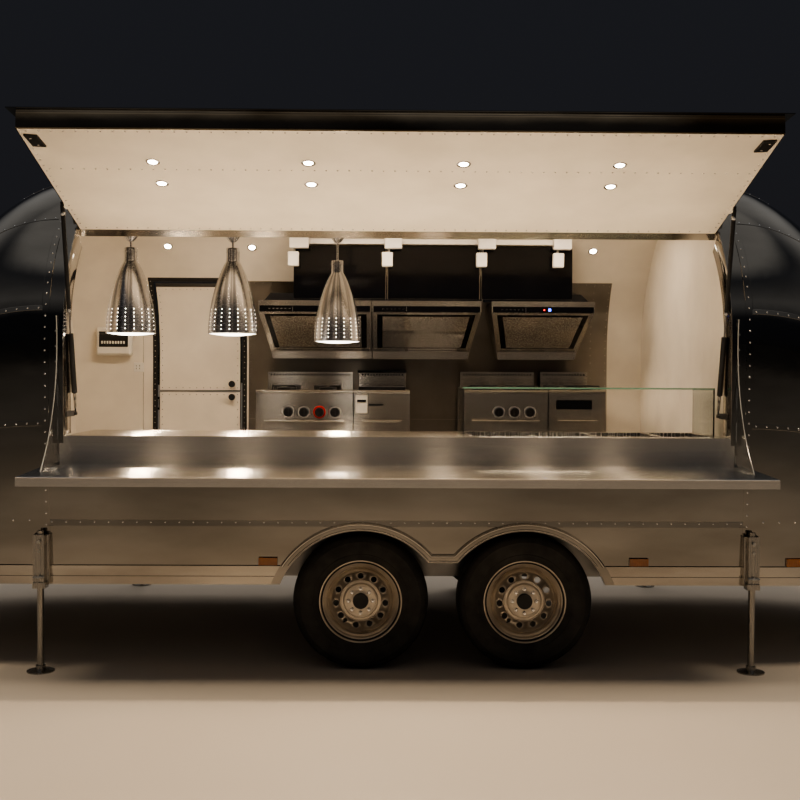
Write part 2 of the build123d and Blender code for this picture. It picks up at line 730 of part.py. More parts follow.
def make_flues():
    """Flue casings that stand on the hoods and end a little below the ceiling."""
    flues = []
    for x0, x1 in FLUE_TABLE:
        casing = block(x0, x1, FLUE_FRONT_Y, HOOD_BACK_Y, HOOD_TOP_Z, FLUE_TOP_Z)
        x0, x1 = x0 + FLUE_PANEL, x1 - FLUE_PANEL
        hollow = block(x0, x1, FLUE_FRONT_Y + FLUE_PANEL, FAR, HOOD_TOP_Z - 1, FLUE_TOP_Z - FLUE_PANEL)
        flues.append((casing - hollow) & lined_room())
    return flues


def cooker_knobs(x1, count):
    """X of each knob on a cooker, counted from its far end."""
    return [x1 - KNOB_PITCH * (number + 1.15) for number in range(count)]


def make_cookers():
    """Cookers along the door wall, with recessed oven fronts, knobs, rails and a low upstand behind."""
    cookers = []
    wells = well_space(1, WELL_FIT)
    sheet = COOKER_SHEET
    z0 = FLOOR_Z + COOKER_FOOT
    y0, y1 = COOKER_FRONT_Y, COOKER_BACK_Y
    rail_y = y0 - KNOB_LENGTH
    for (x0, x1, top_z), knobs in zip(COOKER_TABLE, COOKER_KNOBS):
        body = block(x0, x1, y0, y1, z0, top_z) - wells
        hollow = block(x0 + sheet, x1 - sheet, y0 + 3 * sheet, y1 - sheet, z0 + sheet, top_z - sheet)
        body = body - (hollow - well_space(1, WELL_FIT + sheet))
        for leg_x in (x0 + COOKER_LEG_INSET, x1 - COOKER_LEG_INSET):
            for leg_y in (y0 + COOKER_LEG_INSET, WELL_INNER_Y - 2 * COOKER_LEG_INSET):
                body = body + bar_z(leg_x, leg_y, FLOOR_Z, z0 + 1, 18)
        rail_z = top_z - KNOB_DROP - 60
        body = body - block(x0 + 50, x1 - 50, y0 - 1, y0 + sheet + 2, FLOOR_Z + 180, rail_z - 30)
        body = body + block(x0 + 20, x1 - 20, y1 - 40, y1 - 20, top_z - 1, top_z + COOKER_UPSTAND)
        body = body + bar_x(x0, x1, y0, top_z - 12, 12)
        for knob_x in cooker_knobs(x1, knobs):
            body = body + bar_y(knob_x, y0 - KNOB_LENGTH, y0 + 1, top_z - KNOB_DROP, KNOB_RADIUS)
        body = body + bar_x(x0 + 60, x1 - 60, rail_y, rail_z, 8)
        for grip_x in (x0 + 70, x1 - 70):
            body = body + bar_y(grip_x, rail_y, y0 + 1, rail_z, 6)
        cookers.append(body)
    return cookers


def make_splash_panel():
    """The stainless splash panel on the door wall behind the cookers and hoods."""
    sheet = section_ring(WALL_THICKNESS, WALL_THICKNESS + SHELF_SHEET, *SPLASH_X)
    return sheet & block(-FAR, FAR, 0, FAR, *SPLASH_Z)


def make_bulkheads():
    """The lined walls across the body: one deep in the front cap, one just before the rear cap."""
    inset = WALL_THICKNESS + BULKHEAD_PLAY
    rear = section_prism(inset, REAR_BULKHEAD_X, REAR_BULKHEAD_X + BULKHEAD_THICKNESS, FLOOR_Z)
    slab = block(FRONT_BULKHEAD_X, FRONT_BULKHEAD_X + BULKHEAD_THICKNESS, -FAR, FAR, FLOOR_Z, FAR)
    front = cap_space() & slab
    return [mirror(front, about=Plane.YZ), rear]


def make_strut_brackets():
    """Anchors for the lower strut ends, on the serving wall's inside beside the opening."""
    half = BRACKET_SIZE / 2
    low = HATCH_HALF + STRUT_OFFSET + STRUT_EYE_WIDTH / 2 + STRUT_EYE_GAP
    high = OPENING_HALF + BRACKET_GRIP
    bracket = block(low, high, -FAR, STRUT_FOOT_Y + half, STRUT_FOOT_Z - half, STRUT_FOOT_Z + half)
    bracket = bracket & section_prism(WALL_THICKNESS, 0, SECTION_HALF)
    return [mirror(bracket, about=Plane.YZ), bracket]


def lens_prism(x0, x1):
    """The closed hatch's solid lens between the liner plane and the skin."""
    edge_z = COUNTER_Z + HATCH_EDGE_GAP
    skin_y = -Profile(inset=-HATCH_GAP).wall_y(edge_z)
    liner_low = (skin_y + HATCH_LIP, edge_z)
    liner_high = hinge_frame(-HATCH_ROOT_DEPTH, HATCH_START)
    top = hinge_frame(FAR, HATCH_START)
    body = section_prism(-HATCH_GAP, x0, x1)
    keep = yz_prism([liner_low, liner_high, top, (-2 * FAR, edge_z)], x0, x1)
    return body & keep


def liner_strip(x0, x1):
    """The flat panel that closes the lens inwards."""
    edge_z = COUNTER_Z + HATCH_EDGE_GAP
    low = (-Profile(inset=-HATCH_GAP).wall_y(edge_z) + HATCH_LIP, edge_z)
    high = hinge_frame(-HATCH_ROOT_DEPTH, HATCH_START)
    length = math.hypot(high[0] - low[0], high[1] - low[1])
    out = ((low[1] - high[1]) / length * HATCH_LINER, (high[0] - low[0]) / length * HATCH_LINER)
    corners = [low, high, (high[0] + out[0], high[1] + out[1]), (low[0] + out[0], low[1] + out[1])]
    return yz_prism(corners, x0, x1)


def knuckle_spans(hatch_side):
    """X spans of the hinge knuckles on one side of the joint."""
    step = HATCH_LENGTH / HINGE_KNUCKLES
    spans = []
    for count in range(HINGE_KNUCKLES):
        if (count % 2 == 1) == hatch_side:
            spans.append((-HATCH_HALF + count * step + 1, -HATCH_HALF + (count + 1) * step - 1))
    return spans


def open_hatch(shape):
    """Swing a piece from where the closed hatch has it to where the open hatch has it."""
    return shape.rotate(Axis((0, HINGE_Y, HINGE_Z), (1, 0, 0)), -HATCH_OPEN_ANGLE)


def make_hatch():
    """The hatch: skin with side flanges, end plates, lip and knuckles, and its flat liner."""
    edge_z = COUNTER_Z + HATCH_EDGE_GAP
    skin_half = HATCH_HALF + HATCH_FLANGE
    outer = -(HATCH_GAP + HATCH_SKIN)
    skin = section_ring(outer, -HATCH_GAP, -skin_half, skin_half)
    skin = skin & block(-FAR, FAR, -FAR, 0, edge_z, FAR)
    skin = skin - roof_wedge(-FAR, FAR, near_shift=2.0)
    for x0, x1 in knuckle_spans(False):
        skin = skin - bar_x(x0 - 2, x1 + 2, HINGE_Y, HINGE_Z, HINGE_KNUCKLE_RADIUS + 1.5)
    pieces = [skin]
    lens = lens_prism(-HATCH_HALF, HATCH_HALF)
    inner_half = HATCH_HALF - HATCH_PLATE
    hollow = lens & block(-inner_half, inner_half, -FAR, FAR, edge_z + HATCH_PLATE, FAR)
    reach = FAR / 4
    root = HATCH_START + HATCH_PLATE
    places = ((-reach, root), (reach, root), (reach, -reach), (-reach, -reach))
    hollow = hollow - yz_prism([hinge_frame(*place) for place in places], -FAR, FAR)
    pieces.append(lens - hollow)
    for x0, x1 in knuckle_spans(True):
        pieces.append(bar_x(x0, x1, HINGE_Y, HINGE_Z, HINGE_KNUCKLE_RADIUS))
    shell = joined(pieces)
    shell = shell - bar_x(-FAR, FAR, HINGE_Y, HINGE_Z, HINGE_PIN_RADIUS + HINGE_PLAY)
    liner = liner_strip(-inner_half, inner_half) & hollow
    (pin_y, pin_z), foot = strut_ends()
    thick, half, below, above = HATCH_PIN_PLATE
    x0 = HATCH_HALF - 1
    x1 = HATCH_HALF + STRUT_OFFSET + STRUT_EYE_WIDTH / 2 + STRUT_EYE_GAP
    pin = bar_x(x0, x1, pin_y, pin_z, STRUT_PIN_RADIUS)
    pin = pin + block(x0, x0 + thick, pin_y - half, pin_y + half, pin_z - below, pin_z + above)
    shell = open_hatch(shell) + pin + mirror(pin, about=Plane.YZ)
    return shell, open_hatch(liner)


def make_hatch_hinge():
    """The hinge pin, with the leaf and knuckles on the roof."""
    leaf = section_ring(-HINGE_LEAF, 0, -HATCH_HALF, HATCH_HALF)
    width = HINGE_LEAF_WIDTH
    places = ((-width, -width), (width, -width), (width, 0), (-width, 0))
    pieces = [leaf & yz_prism([hinge_frame(*place) for place in places], -FAR, FAR)]
    for x0, x1 in knuckle_spans(False):
        pieces.append(bar_x(x0, x1, HINGE_Y, HINGE_Z, HINGE_KNUCKLE_RADIUS))
        web = ((1, -8), (HINGE_OFFSET, -8), (HINGE_OFFSET, 0), (1, 0))
        pieces.append(yz_prism([hinge_frame(*place) for place in web], x0, x1))
    pieces.append(bar_x(-HATCH_HALF, HATCH_HALF, HINGE_Y, HINGE_Z, HINGE_PIN_RADIUS))
    return joined(pieces)


def strut_ends():
    """Upper pin and lower anchor of the struts as (y, z), with the hatch open."""
    top = (HINGE_Y - STRUT_TOP_OUT, HINGE_Z + STRUT_TOP_UP)
    foot = (STRUT_FOOT_Y, STRUT_FOOT_Z)
    return top, foot


def make_strut(side):
    """One gas strut: the tube on the hatch's pin and the rod that slides in it."""
    top, foot = strut_ends()
    x = side * (HATCH_HALF + STRUT_OFFSET)
    length = math.hypot(top[0] - foot[0], top[1] - foot[1])
    lean = math.degrees(math.atan2(foot[0] - top[0], top[1] - foot[1]))
    half = STRUT_EYE_WIDTH / 2
    tube_end = STRUT_EYE_RADIUS + STRUT_TUBE_LENGTH
    tube = bar_z(0, 0, -tube_end, -STRUT_EYE_RADIUS, STRUT_TUBE_RADIUS)
    eye = bar_x(-half, half, 0, 0, STRUT_EYE_RADIUS)
    neck = bar_z(0, 0, -STRUT_EYE_RADIUS - STRUT_HEAD, 0, STRUT_NECK_RADIUS)
    bore = bar_z(0, 0, -tube_end - 10, -STRUT_EYE_RADIUS - STRUT_HEAD, STRUT_ROD_RADIUS + STRUT_PLAY)
    tube = tube + eye + neck - bore
    tube = tube - bar_x(-STRUT_HEAD, STRUT_HEAD, 0, 0, STRUT_PIN_RADIUS + STRUT_PLAY)
    rod = bar_z(0, 0, -length, STRUT_ENGAGED - tube_end, STRUT_ROD_RADIUS)
    rod = rod + bar_x(-half, half, 0, -length, STRUT_EYE_RADIUS)
    rod = rod - bar_x(-STRUT_HEAD, STRUT_HEAD, 0, -length, STRUT_PIN_RADIUS)
    place = Pos(x, top[0], top[1]) * Rot(lean, 0, 0)
    return place * tube, place * rod


def door_hinge():
    """Where the door's upright hinge axis stands, as (x, y)."""
    return DOOR_X - DOOR_WIDTH / 2 - DOOR_GAP / 2, HALF_WIDTH + DOOR_HINGE_OUT


def door_leaves():
    """Bottom Z, top Z, handle Z and hinge heights of each leaf."""
    half = DOOR_SPLIT_GAP / 2
    low, high = DOOR_SPLIT_Z - half, DOOR_SPLIT_Z + half
    spread = DOOR_HINGE_SPREAD
    upper_end = high + DOOR_UPPER_HINGE_SPAN
    return (
        (DOOR_SILL_Z, low, DOOR_SPLIT_Z - DOOR_LATCH_DOWN, (DOOR_SILL_Z + spread, low - spread)),
        (high, DOOR_TOP_Z, DOOR_SPLIT_Z + DOOR_KNOB_UP, (high + spread, upper_end - spread)),
    )


def make_door_leaf(z0, z1, handle_z, hinge_zs):
    """One leaf of the entry door: the wall's own curve, with hinge barrels and a handle."""
    half = DOOR_WIDTH / 2
    ring = section_ring(0, WALL_THICKNESS, DOOR_X - half, DOOR_X + half)
    leaf = ring & block(-FAR, FAR, 0, FAR, z0, z1)
    handle_x = DOOR_X + half - DOOR_HANDLE_IN
    y_in = INNER.wall_y(handle_z)
    knob = bar_y(handle_x, y_in - 45, y_in + 5, handle_z, 14)
    knob = knob + bar_y(handle_x, y_in - 48, y_in - 20, handle_z, 24)
    y_out = OUTER.wall_y(handle_z)
    grip = block(handle_x - 60, handle_x + 25, y_out + 24, y_out + 36, handle_z - 14, handle_z + 14)
    grip = grip + bar_y(handle_x, y_out - 5, y_out + 30, handle_z, 12)
    leaf = leaf + knob + grip
    hinge_x, hinge_y = door_hinge()
    reach = DOOR_HINGE_HALF
    for z in hinge_zs:
        y0 = OUTER.wall_y(z) - 4
        strap = block(hinge_x, DOOR_X - half + DOOR_STRAP, y0, hinge_y, z - reach, z + reach)
        strap = strap - section_prism(BULKHEAD_PLAY, -FAR, FAR)
        leaf = leaf + strap + bar_z(hinge_x, hinge_y, z - reach, z + reach, DOOR_HINGE_RADIUS)
        leaf = leaf - bar_z(hinge_x, hinge_y, z - reach - 2, z + reach + 2, DOOR_PIN_RADIUS + HINGE_PLAY)
    return leaf


def make_door_hinges():
    """Hinge pins with their upper and lower brackets on the door wall."""
    hinge_x, hinge_y = door_hinge()
    x0 = hinge_x - DOOR_STRAP
    y1 = hinge_y + DOOR_HINGE_RADIUS
    near = DOOR_HINGE_HALF + 2
    far = near + DOOR_HINGE_BRACKET
    hinges = []
    for leaf in door_leaves():
        for z in leaf[3]:
            y0 = OUTER.wall_y(z) - 4
            hinge = bar_z(hinge_x, hinge_y, z - far, z + far, DOOR_PIN_RADIUS)
            for low, high in ((z - far, z - near), (z + near, z + far)):
                arm = block(x0, hinge_x, y0, y1, low, high)
                hinge = hinge + arm + bar_z(hinge_x, hinge_y, low, high, DOOR_HINGE_RADIUS)
            plate = block(x0, x0 + DOOR_STRAP / 2, y0, y0 + 12, z - far, z + far)
            hinges.append(hinge + plate - section_prism(0, -FAR, FAR))
    return hinges


def make_tyre(x, side):
    """A plain tyre with rounded shoulders and a seat for the rim."""
    half = TYRE_WIDTH / 2
    seat = RIM_SEAT_RADIUS + 0.5
    bead = RIM_WIDTH / 2 - 14
    shoulder = TYRE_RADIUS - TYRE_CORNER
    outside = [
        (seat, bead), (seat + 28, bead + 6), (shoulder - 40, half), (shoulder, half),
        (TYRE_RADIUS - 12, half - 20), (TYRE_RADIUS, half - 42),
    ]
    inside = [(TYRE_RADIUS - 22, half - 50), (TYRE_RADIUS - 90, half - 30), (seat, bead - 20)]
    outline = [(r, -h) for r, h in outside] + outside[::-1]
    outline = outline + inside[::-1] + [(r, -h) for r, h in inside]
    wire = Wire.make_polygon([(r, 0, h) for r, h in outline], close=True)
    tyre = revolve(Face(wire), Axis.Z, 360)
    return Pos(x, side * WHEEL_CENTRE_Y, TYRE_RADIUS) * Rot(90 * side, 0, 0) * tyre


def make_rim(x, side):
    """A steel wheel: drop-centre rim, dished disc with hand holes, hub bore and lug nuts."""
    half = RIM_WIDTH / 2
    sheet = RIM_SHEET
    face = half - DISC_SET_BACK
    seat = RIM_SEAT_RADIUS
    well = RIM_WELL_RADIUS
    outer = [
        (RIM_RADIUS, -half), (RIM_RADIUS, -half + sheet), (seat, -half + 12), (seat, -half + 44),
        (well, -half + 58), (well, half - 66), (seat, half - 44), (seat, half - 12),
        (RIM_RADIUS, half - sheet), (RIM_RADIUS, half),
    ]
    front = [
        (seat - 6, half - 8), (seat - 6, half - 48), (well - 6, half - 70), (DISC_RADIUS, face),
        (108, face), (100, face - 10), (94, face + 6), (88, face + 12), (HUB_BORE_RADIUS, face + 12),
    ]
    back = [
        (HUB_BORE_RADIUS, face + 2), (84, face + 2), (96, face - 18), (DISC_RADIUS - 4, face - 8),
        (well - 6, face - 34), (well - 6, -half + 60), (seat - 6, -half + 46), (seat - 6, -half + 8),
    ]
    outline = outer + front + back
    wire = Wire.make_polygon([(r, 0, h) for r, h in outline], close=True)
    rim = revolve(Face(wire), Axis.Z, 360)
    for count in range(HAND_HOLES):
        angle = 90 - (count - HAND_HOLES / 2 + 0.5) * HAND_HOLE_PITCH
        hole = Pos(HAND_HOLE_CIRCLE * cosd(angle), HAND_HOLE_CIRCLE * sind(angle), face)
        rim = rim - hole * Cylinder(HAND_HOLE_RADIUS, 60)
    for count in range(LUG_NUTS):
        angle = 22.5 + 45 * count
        nut = Pos(LUG_CIRCLE * cosd(angle), LUG_CIRCLE * sind(angle), face + 18)
        rim = rim + nut * extrude(RegularPolygon(LUG_RADIUS, 6), amount=12, both=True)
    return Pos(x, side * WHEEL_CENTRE_Y, TYRE_RADIUS) * Rot(-90 * side, 0, 0) * rim


def make_axles():
    """Two torsion axles: a square tube on brackets, trailing arms, and spindles with hub drums."""
    axles = []
    face_y = WHEEL_CENTRE_Y + RIM_WIDTH / 2 - DISC_SET_BACK + 2
    arm_y = WHEEL_CENTRE_Y - TYRE_WIDTH / 2 - AXLE_ARM_GAP
    arm_in = arm_y - AXLE_ARM_THICKNESS
    tube_z = BODY_BOTTOM_Z - AXLE_TUBE / 2
    half = AXLE_TUBE / 2
    foot = AXLE_FOOT / 2
    nose_radius = HUB_BORE_RADIUS - WHEEL_PLAY
    for x in AXLE_XS:
        tube_x = x - AXLE_ARM_LENGTH
        axle = block(tube_x - half, tube_x + half, -arm_y, arm_y, tube_z - half, tube_z + half)
        for side in (-1, 1):
            arm = bar_y(tube_x, side * arm_y, side * arm_in, tube_z, 50)
            arm = arm + bar_y(x, side * arm_y, side * arm_in, TYRE_RADIUS, 45)
            corners = [
                (tube_x, tube_z - 38), (x, TYRE_RADIUS - 38), (x, TYRE_RADIUS + 38), (tube_x, tube_z + 38),
            ]
            low = min(side * arm_y, side * arm_in)
            arm = arm + xz_prism(corners, low, low + AXLE_ARM_THICKNESS)
            spindle = bar_y(x, side * (arm_y - 5), side * (face_y - 4), TYRE_RADIUS, SPINDLE_RADIUS)
            hub = bar_y(x, side * (face_y - 70), side * (face_y - 4.5), TYRE_RADIUS, HUB_DRUM_RADIUS)
            nose = bar_y(x, side * (face_y - 10), side * (face_y + 24), TYRE_RADIUS, nose_radius)
            y = side * AXLE_FOOT_Y
            z0 = BODY_BOTTOM_Z - AXLE_FOOT_HEIGHT
            pad = block(tube_x - foot, tube_x + foot, y - foot, y + foot, z0, BODY_BOTTOM_Z)
            axle = axle + arm + spindle + hub + nose + pad
        axles.append(axle)
    return axles


def sleeve_y():
    """Distance of a steady leg's axis from the centre plane."""
    return OUTER.wall_y(BODY_BOTTOM_Z + RAIL_HEIGHT) + SLEEVE_OUT


def make_sleeves():
    """Square sleeves that carry the steady legs, each on a block shaped to the body's foot."""
    half = SLEEVE_SIZE / 2
    x = LEG_X
    y = -sleeve_y()
    foot = block(-FAR, FAR, -FAR, FAR, BODY_BOTTOM_Z, BODY_BOTTOM_Z + RAIL_HEIGHT)
    wide, tall = SLEEVE_COLLAR
    side = SLEEVE_MOUNT / 2
    mount = block(x - side, x + side, y, -HALF_WIDTH + 80, BODY_BOTTOM_Z + 3, SLEEVE_TOP_Z - 3)
    mount = mount - section_prism(0, 0, SECTION_HALF) - cap_prism(0)
    mount = mount - (section_prism(-RAIL_DEPTH, 0, SECTION_HALF) & foot) - (cap_prism(-RAIL_DEPTH) & foot)
    sleeve = block(x - half, x + half, y - half, y + half, SLEEVE_BOTTOM_Z, SLEEVE_TOP_Z)
    reach = half + wide
    collar = block(x - reach, x + reach, y - reach, y + half, SLEEVE_BOTTOM_Z, SLEEVE_BOTTOM_Z + tall)
    sleeve = joined([sleeve, mount, collar])
    sleeve = sleeve - bar_z(x, y, SLEEVE_BOTTOM_Z - 1, SLEEVE_TOP_Z + 1, LEG_RADIUS + LEG_PLAY)
    return both_sides(sleeve) + both_sides(mirror(sleeve, about=Plane.YZ))


def make_leg(x, side):
    """One steady leg with its round foot on the ground."""
    y = side * sleeve_y()
    leg = bar_z(x, y, LEG_FOOT_HEIGHT - 2, SLEEVE_TOP_Z + 20, LEG_RADIUS)
    hub = LEG_RADIUS + 8
    plate = [(0, 0), (LEG_FOOT_RADIUS, 0), (LEG_FOOT_RADIUS, 6), (hub, LEG_FOOT_HEIGHT)]
    outline = plate + [(hub, LEG_FOOT_HEIGHT + 20), (0, LEG_FOOT_HEIGHT + 20)]
    wire = Wire.make_polygon([(r, 0, h) for r, h in outline], close=True)
    foot = Pos(x, y, 0) * revolve(Face(wire), Axis.Z, 360)
    return leg + foot


def coupler_x():
    """X of the coupling ball's centre."""
    return -SECTION_HALF - CAP_LENGTH - DRAWBAR_REACH


def make_drawbar():
    """Two beams that meet at the coupling head, a cross-member and the jack's plate."""
    nose = coupler_x() + COUPLER_LENGTH - 60
    tail = -SECTION_HALF - CAP_LENGTH + DRAWBAR_UNDER
    z1 = BODY_BOTTOM_Z
    z0 = z1 - DRAWBAR_DEPTH
    half = DRAWBAR_WIDTH / 2
    pieces = []
    for side in (-1, 1):
        corners = [
            (nose, side * 4), (nose, side * (4 + DRAWBAR_WIDTH)), (tail, side * (DRAWBAR_SPREAD + half)),
            (tail, side * (DRAWBAR_SPREAD - half)),
        ]
        wire = Wire.make_polygon([(x, y, z0) for x, y in corners], close=True)
        pieces.append(extrude(Face(wire), amount=DRAWBAR_DEPTH, dir=(0, 0, 1)))
    pieces.append(block(tail - DRAWBAR_WIDTH, tail, -DRAWBAR_SPREAD, DRAWBAR_SPREAD, z0, z1))
    pieces.append(block(nose, nose + 160, -60, 60, z0, z1))
    jack_x = coupler_x() + JACK_BACK
    spread = 4 + (DRAWBAR_SPREAD - half) * (jack_x - nose) / (tail - nose)
    pieces.append(block(jack_x - 70, jack_x + 70, -spread - half, spread + half, z1 - 10, z1))
    frame = joined(pieces)
    return frame - bar_z(jack_x, 0, 0, FAR, JACK_TUBE_RADIUS)


def make_coupler():
    """The coupling head, hollow below for a 50 mm ball, with its handle."""
    x = coupler_x()
    z = BODY_BOTTOM_Z - 20
    head = Pos(x, 0, z) * Sphere(44) + bar_z(x, 0, z - 10, z, 44)
    neck = block(x, x + COUPLER_LENGTH - 60, -28, 28, z - 30, z + 18)
    body = head + neck + block(x + 120, x + 240, -12, 12, z + 10, z + 60)
    socket = Pos(x, 0, z - 10) * Sphere(COUPLER_BALL_RADIUS)
    body = body - socket - bar_z(x, 0, z - 80, z - 10, COUPLER_BALL_RADIUS)
    return body & block(-2 * FAR, 2 * FAR, -FAR, FAR, z - 30, z + 100)


def make_jack_tube():
    """The nose jack's outer tube, clamped through the drawbar plate, with its crank head."""
    x = coupler_x() + JACK_BACK
    tube = bar_z(x, 0, JACK_TUBE_BOTTOM_Z, JACK_TOP_Z, JACK_TUBE_RADIUS)
    tube = tube - bar_z(x, 0, JACK_TUBE_BOTTOM_Z - 1, JACK_TOP_Z - 20, JACK_LEG_RADIUS + LEG_PLAY)
    head = bar_z(x, 0, JACK_TOP_Z, JACK_TOP_Z + 50, JACK_TUBE_RADIUS + 8)
    crank = bar_x(x, x + JACK_CRANK, 0, JACK_TOP_Z + 25, 9)
    crank = crank + bar_z(x + JACK_CRANK, 0, JACK_TOP_Z - JACK_CRANK_DROP, JACK_TOP_Z + 34, 9)
    return tube + head + crank


def make_jack_leg():
    """The nose jack's inner leg with its foot."""
    x = coupler_x() + JACK_BACK
    leg = bar_z(x, 0, 10, JACK_TOP_Z - JACK_LIFT - 40, JACK_LEG_RADIUS)
    foot = bar_z(x, 0, 0, 12, JACK_FOOT_RADIUS) + bar_z(x, 0, 5, JACK_COLLAR_TOP_Z, JACK_LEG_RADIUS + 8)
    return leg + foot


def make_bumper():
    """The rear bumper bar on two arms under the rear cap."""
    x1 = SECTION_HALF + CAP_LENGTH + BUMPER_BACK
    half = BUMPER_LENGTH / 2
    x0 = x1 - 20 - BUMPER_ARM_LENGTH
    bar = block(x1 - BUMPER_DEPTH, x1, -half, half, BODY_BOTTOM_Z - 110, BODY_BOTTOM_Z - 20)
    pieces = [bar]
    for y in (-BUMPER_ARM_Y, BUMPER_ARM_Y):
        pieces.append(block(x0, x1 - 20, y - 30, y + 30, BODY_BOTTOM_Z - 80, BODY_BOTTOM_Z))
    return joined(pieces)


def make_markers():
    """Side marker lamps on both sides, on the wall just above the rub rail."""
    lamps = []
    z0 = BODY_BOTTOM_Z + RAIL_HEIGHT + MARKER_GAP
    for x, length in MARKER_TABLE:
        lamp = block(x - length / 2, x + length / 2, -FAR, 0, z0, z0 + MARKER_HEIGHT)
        if x > SECTION_HALF:
            lamp = lamp & cap_prism(-MARKER_DEPTH)
            lamp = lamp - cap_prism(0)
        else:
            lamp = lamp & section_prism(-MARKER_DEPTH, -SECTION_HALF, SECTION_HALF)
            lamp = lamp - section_prism(0, -FAR, FAR)
        lamps.extend(both_sides(lamp))
    return lamps


def make_tail_lamps():
    """Round tail lamps that follow the rear cap's surface."""
    lamps = []
    lens = cap_prism(-TAIL_LAMP_DEPTH)
    for z in TAIL_LAMP_ZS:
        lamp = bar_x(SECTION_HALF, SECTION_HALF + 2 * CAP_LENGTH, -TAIL_LAMP_Y, z, TAIL_LAMP_RADIUS)
        lamps.extend(both_sides((lamp & lens) - cap_prism(0)))
    return lamps


def make_vents():
    """Low round vents on the roof over the hoods."""
    vents = []
    for x in VENT_X:
        base = OUTER.roof_z(VENT_Y)
        stem = bar_z(x, VENT_Y, base - VENT_HEIGHT, base + VENT_HEIGHT, VENT_RADIUS * 0.7)
        lid = Pos(x, VENT_Y, base + VENT_HEIGHT) * Cone(VENT_RADIUS, VENT_RADIUS * 0.55, VENT_LID)
        vent = stem + lid
        vents.append(vent - section_prism(0, -FAR, FAR))
    return vents


def gather():
    """Every node, by name."""
    serving, door_wall = make_walls()
    front, rear = make_caps()
    deck, pan = make_floor()
    counter, base = make_counter()
    shell, liner = make_hatch()
    lower, upper = door_leaves()
    nodes = {
        "drawbar": [make_drawbar()],
        "coupling_head": [make_coupler()],
        "jack_tube": [make_jack_tube()],
        "steady_sleeves": make_sleeves(),
        "axles": make_axles(),
        "floor_deck": [deck],
        "belly_pan": [pan],
        "wheel_wells": make_wells(),
        "serving_wall": [serving],
        "door_wall": [door_wall],
        "roof_panel": [make_roof()],
        "front_cap": [front],
        "rear_cap": [rear],
        "bulkheads": make_bulkheads(),
        "strut_brackets": make_strut_brackets(),
        "rub_rail": make_rail(),
        "arch_trims": make_arch_trims(),
        "rear_bumper": [make_bumper()],
        "serving_shelf": [make_shelf()],
        "side_guards": make_guards(),
        "serving_counter": [counter],
        "counter_base": [base],
        "food_pans": make_pans(),
        "sneeze_glass": [make_sneeze_glass()],
        "heat_lamps": make_heat_lamps(),
        "range_hoods": make_hoods(),
        "flue_casings": make_flues(),
        "cookers": make_cookers(),
        "splash_panel": [make_splash_panel()],
        "marker_lamps": make_markers(),
        "tail_lamps": make_tail_lamps(),
        "roof_vents": make_vents(),
        "hatch_hinge": [make_hatch_hinge()],
        "door_hinges": make_door_hinges(),
        "hatch_shell": [shell],
        "hatch_liner": [liner],
        "door_lower": [make_door_leaf(*lower)],
        "door_upper": [make_door_leaf(*upper)],
        "jack_leg": [make_jack_leg()],
    }
    for side, hand in ((-1, "front"), (1, "rear")):
        tube, rod = make_strut(side)
        nodes[f"strut_tube_{hand}"] = [tube]
        nodes[f"strut_rod_{hand}"] = [rod]
    for y_side, wall in ((-1, "serving"), (1, "door")):
        for x_side, end in ((-1, "front"), (1, "rear")):
            nodes[f"leg_{wall}_{end}"] = [make_leg(x_side * LEG_X, y_side)]
            axle_x = AXLE_XS[0] if x_side < 0 else AXLE_XS[1]
            nodes[f"tyre_{wall}_{end}"] = [make_tyre(axle_x, y_side)]
            nodes[f"rim_{wall}_{end}"] = [make_rim(axle_x, y_side)]
    return nodes


def solids_of(shapes):
    """The single solids in a list of shapes."""
    return [solid for shape in shapes for solid in shape.solids()]


NODES = {name: solids_of(shapes) for name, shapes in gather().items()}
BOXES = [solid.bounding_box() for solids in NODES.values() for solid in solids]
LOW = [min(getattr(box.min, axis) for box in BOXES) for axis in "XYZ"]
HIGH = [max(getattr(box.max, axis) for box in BOXES) for axis in "XYZ"]
SHIFT = (-(LOW[0] + HIGH[0]) / 2, -(LOW[1] + HIGH[1]) / 2, -LOW[2])

os.makedirs("parts", exist_ok=True)
for name, solids in NODES.items():
    export_step(Compound(children=[Pos(*SHIFT) * solid for solid in solids]), f"parts/{name}.step")
print("shift", [round(value, 3) for value in SHIFT])
print("size", [round(high - low, 1) for low, high in zip(LOW, HIGH)])
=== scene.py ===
"""Looks for the tandem-axle catering trailer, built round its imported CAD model.

Lengths are in metres. The pieces are made in the trailer's own frame: X is 0 in the middle of the
straight section and runs to the rear, Y is 0 on the centre plane and runs to the door side, and Z is
0 on the ground. MID moves them into the row frame.
"""
import math

import bmesh
import bpy
from mathutils import Matrix, Vector
from mathutils.geometry import delaunay_2d_cdt


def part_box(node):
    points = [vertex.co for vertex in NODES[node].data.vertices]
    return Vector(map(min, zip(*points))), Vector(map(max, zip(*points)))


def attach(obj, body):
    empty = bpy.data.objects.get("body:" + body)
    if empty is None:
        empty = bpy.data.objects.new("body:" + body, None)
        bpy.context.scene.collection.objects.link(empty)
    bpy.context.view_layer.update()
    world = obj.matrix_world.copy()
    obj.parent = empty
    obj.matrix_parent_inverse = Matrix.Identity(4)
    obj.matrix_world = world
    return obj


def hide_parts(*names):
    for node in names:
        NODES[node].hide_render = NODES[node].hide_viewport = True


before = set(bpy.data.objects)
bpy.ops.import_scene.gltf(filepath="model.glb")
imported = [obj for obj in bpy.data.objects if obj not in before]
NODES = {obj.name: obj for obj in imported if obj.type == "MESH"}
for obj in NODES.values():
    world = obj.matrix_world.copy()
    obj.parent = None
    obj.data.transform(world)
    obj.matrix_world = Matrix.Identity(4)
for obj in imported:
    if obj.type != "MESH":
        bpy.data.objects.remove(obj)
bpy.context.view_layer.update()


def middle(name, axis):
    """The middle of a node's box along one axis."""
    low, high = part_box(name)
    return (low[axis] + high[axis]) / 2


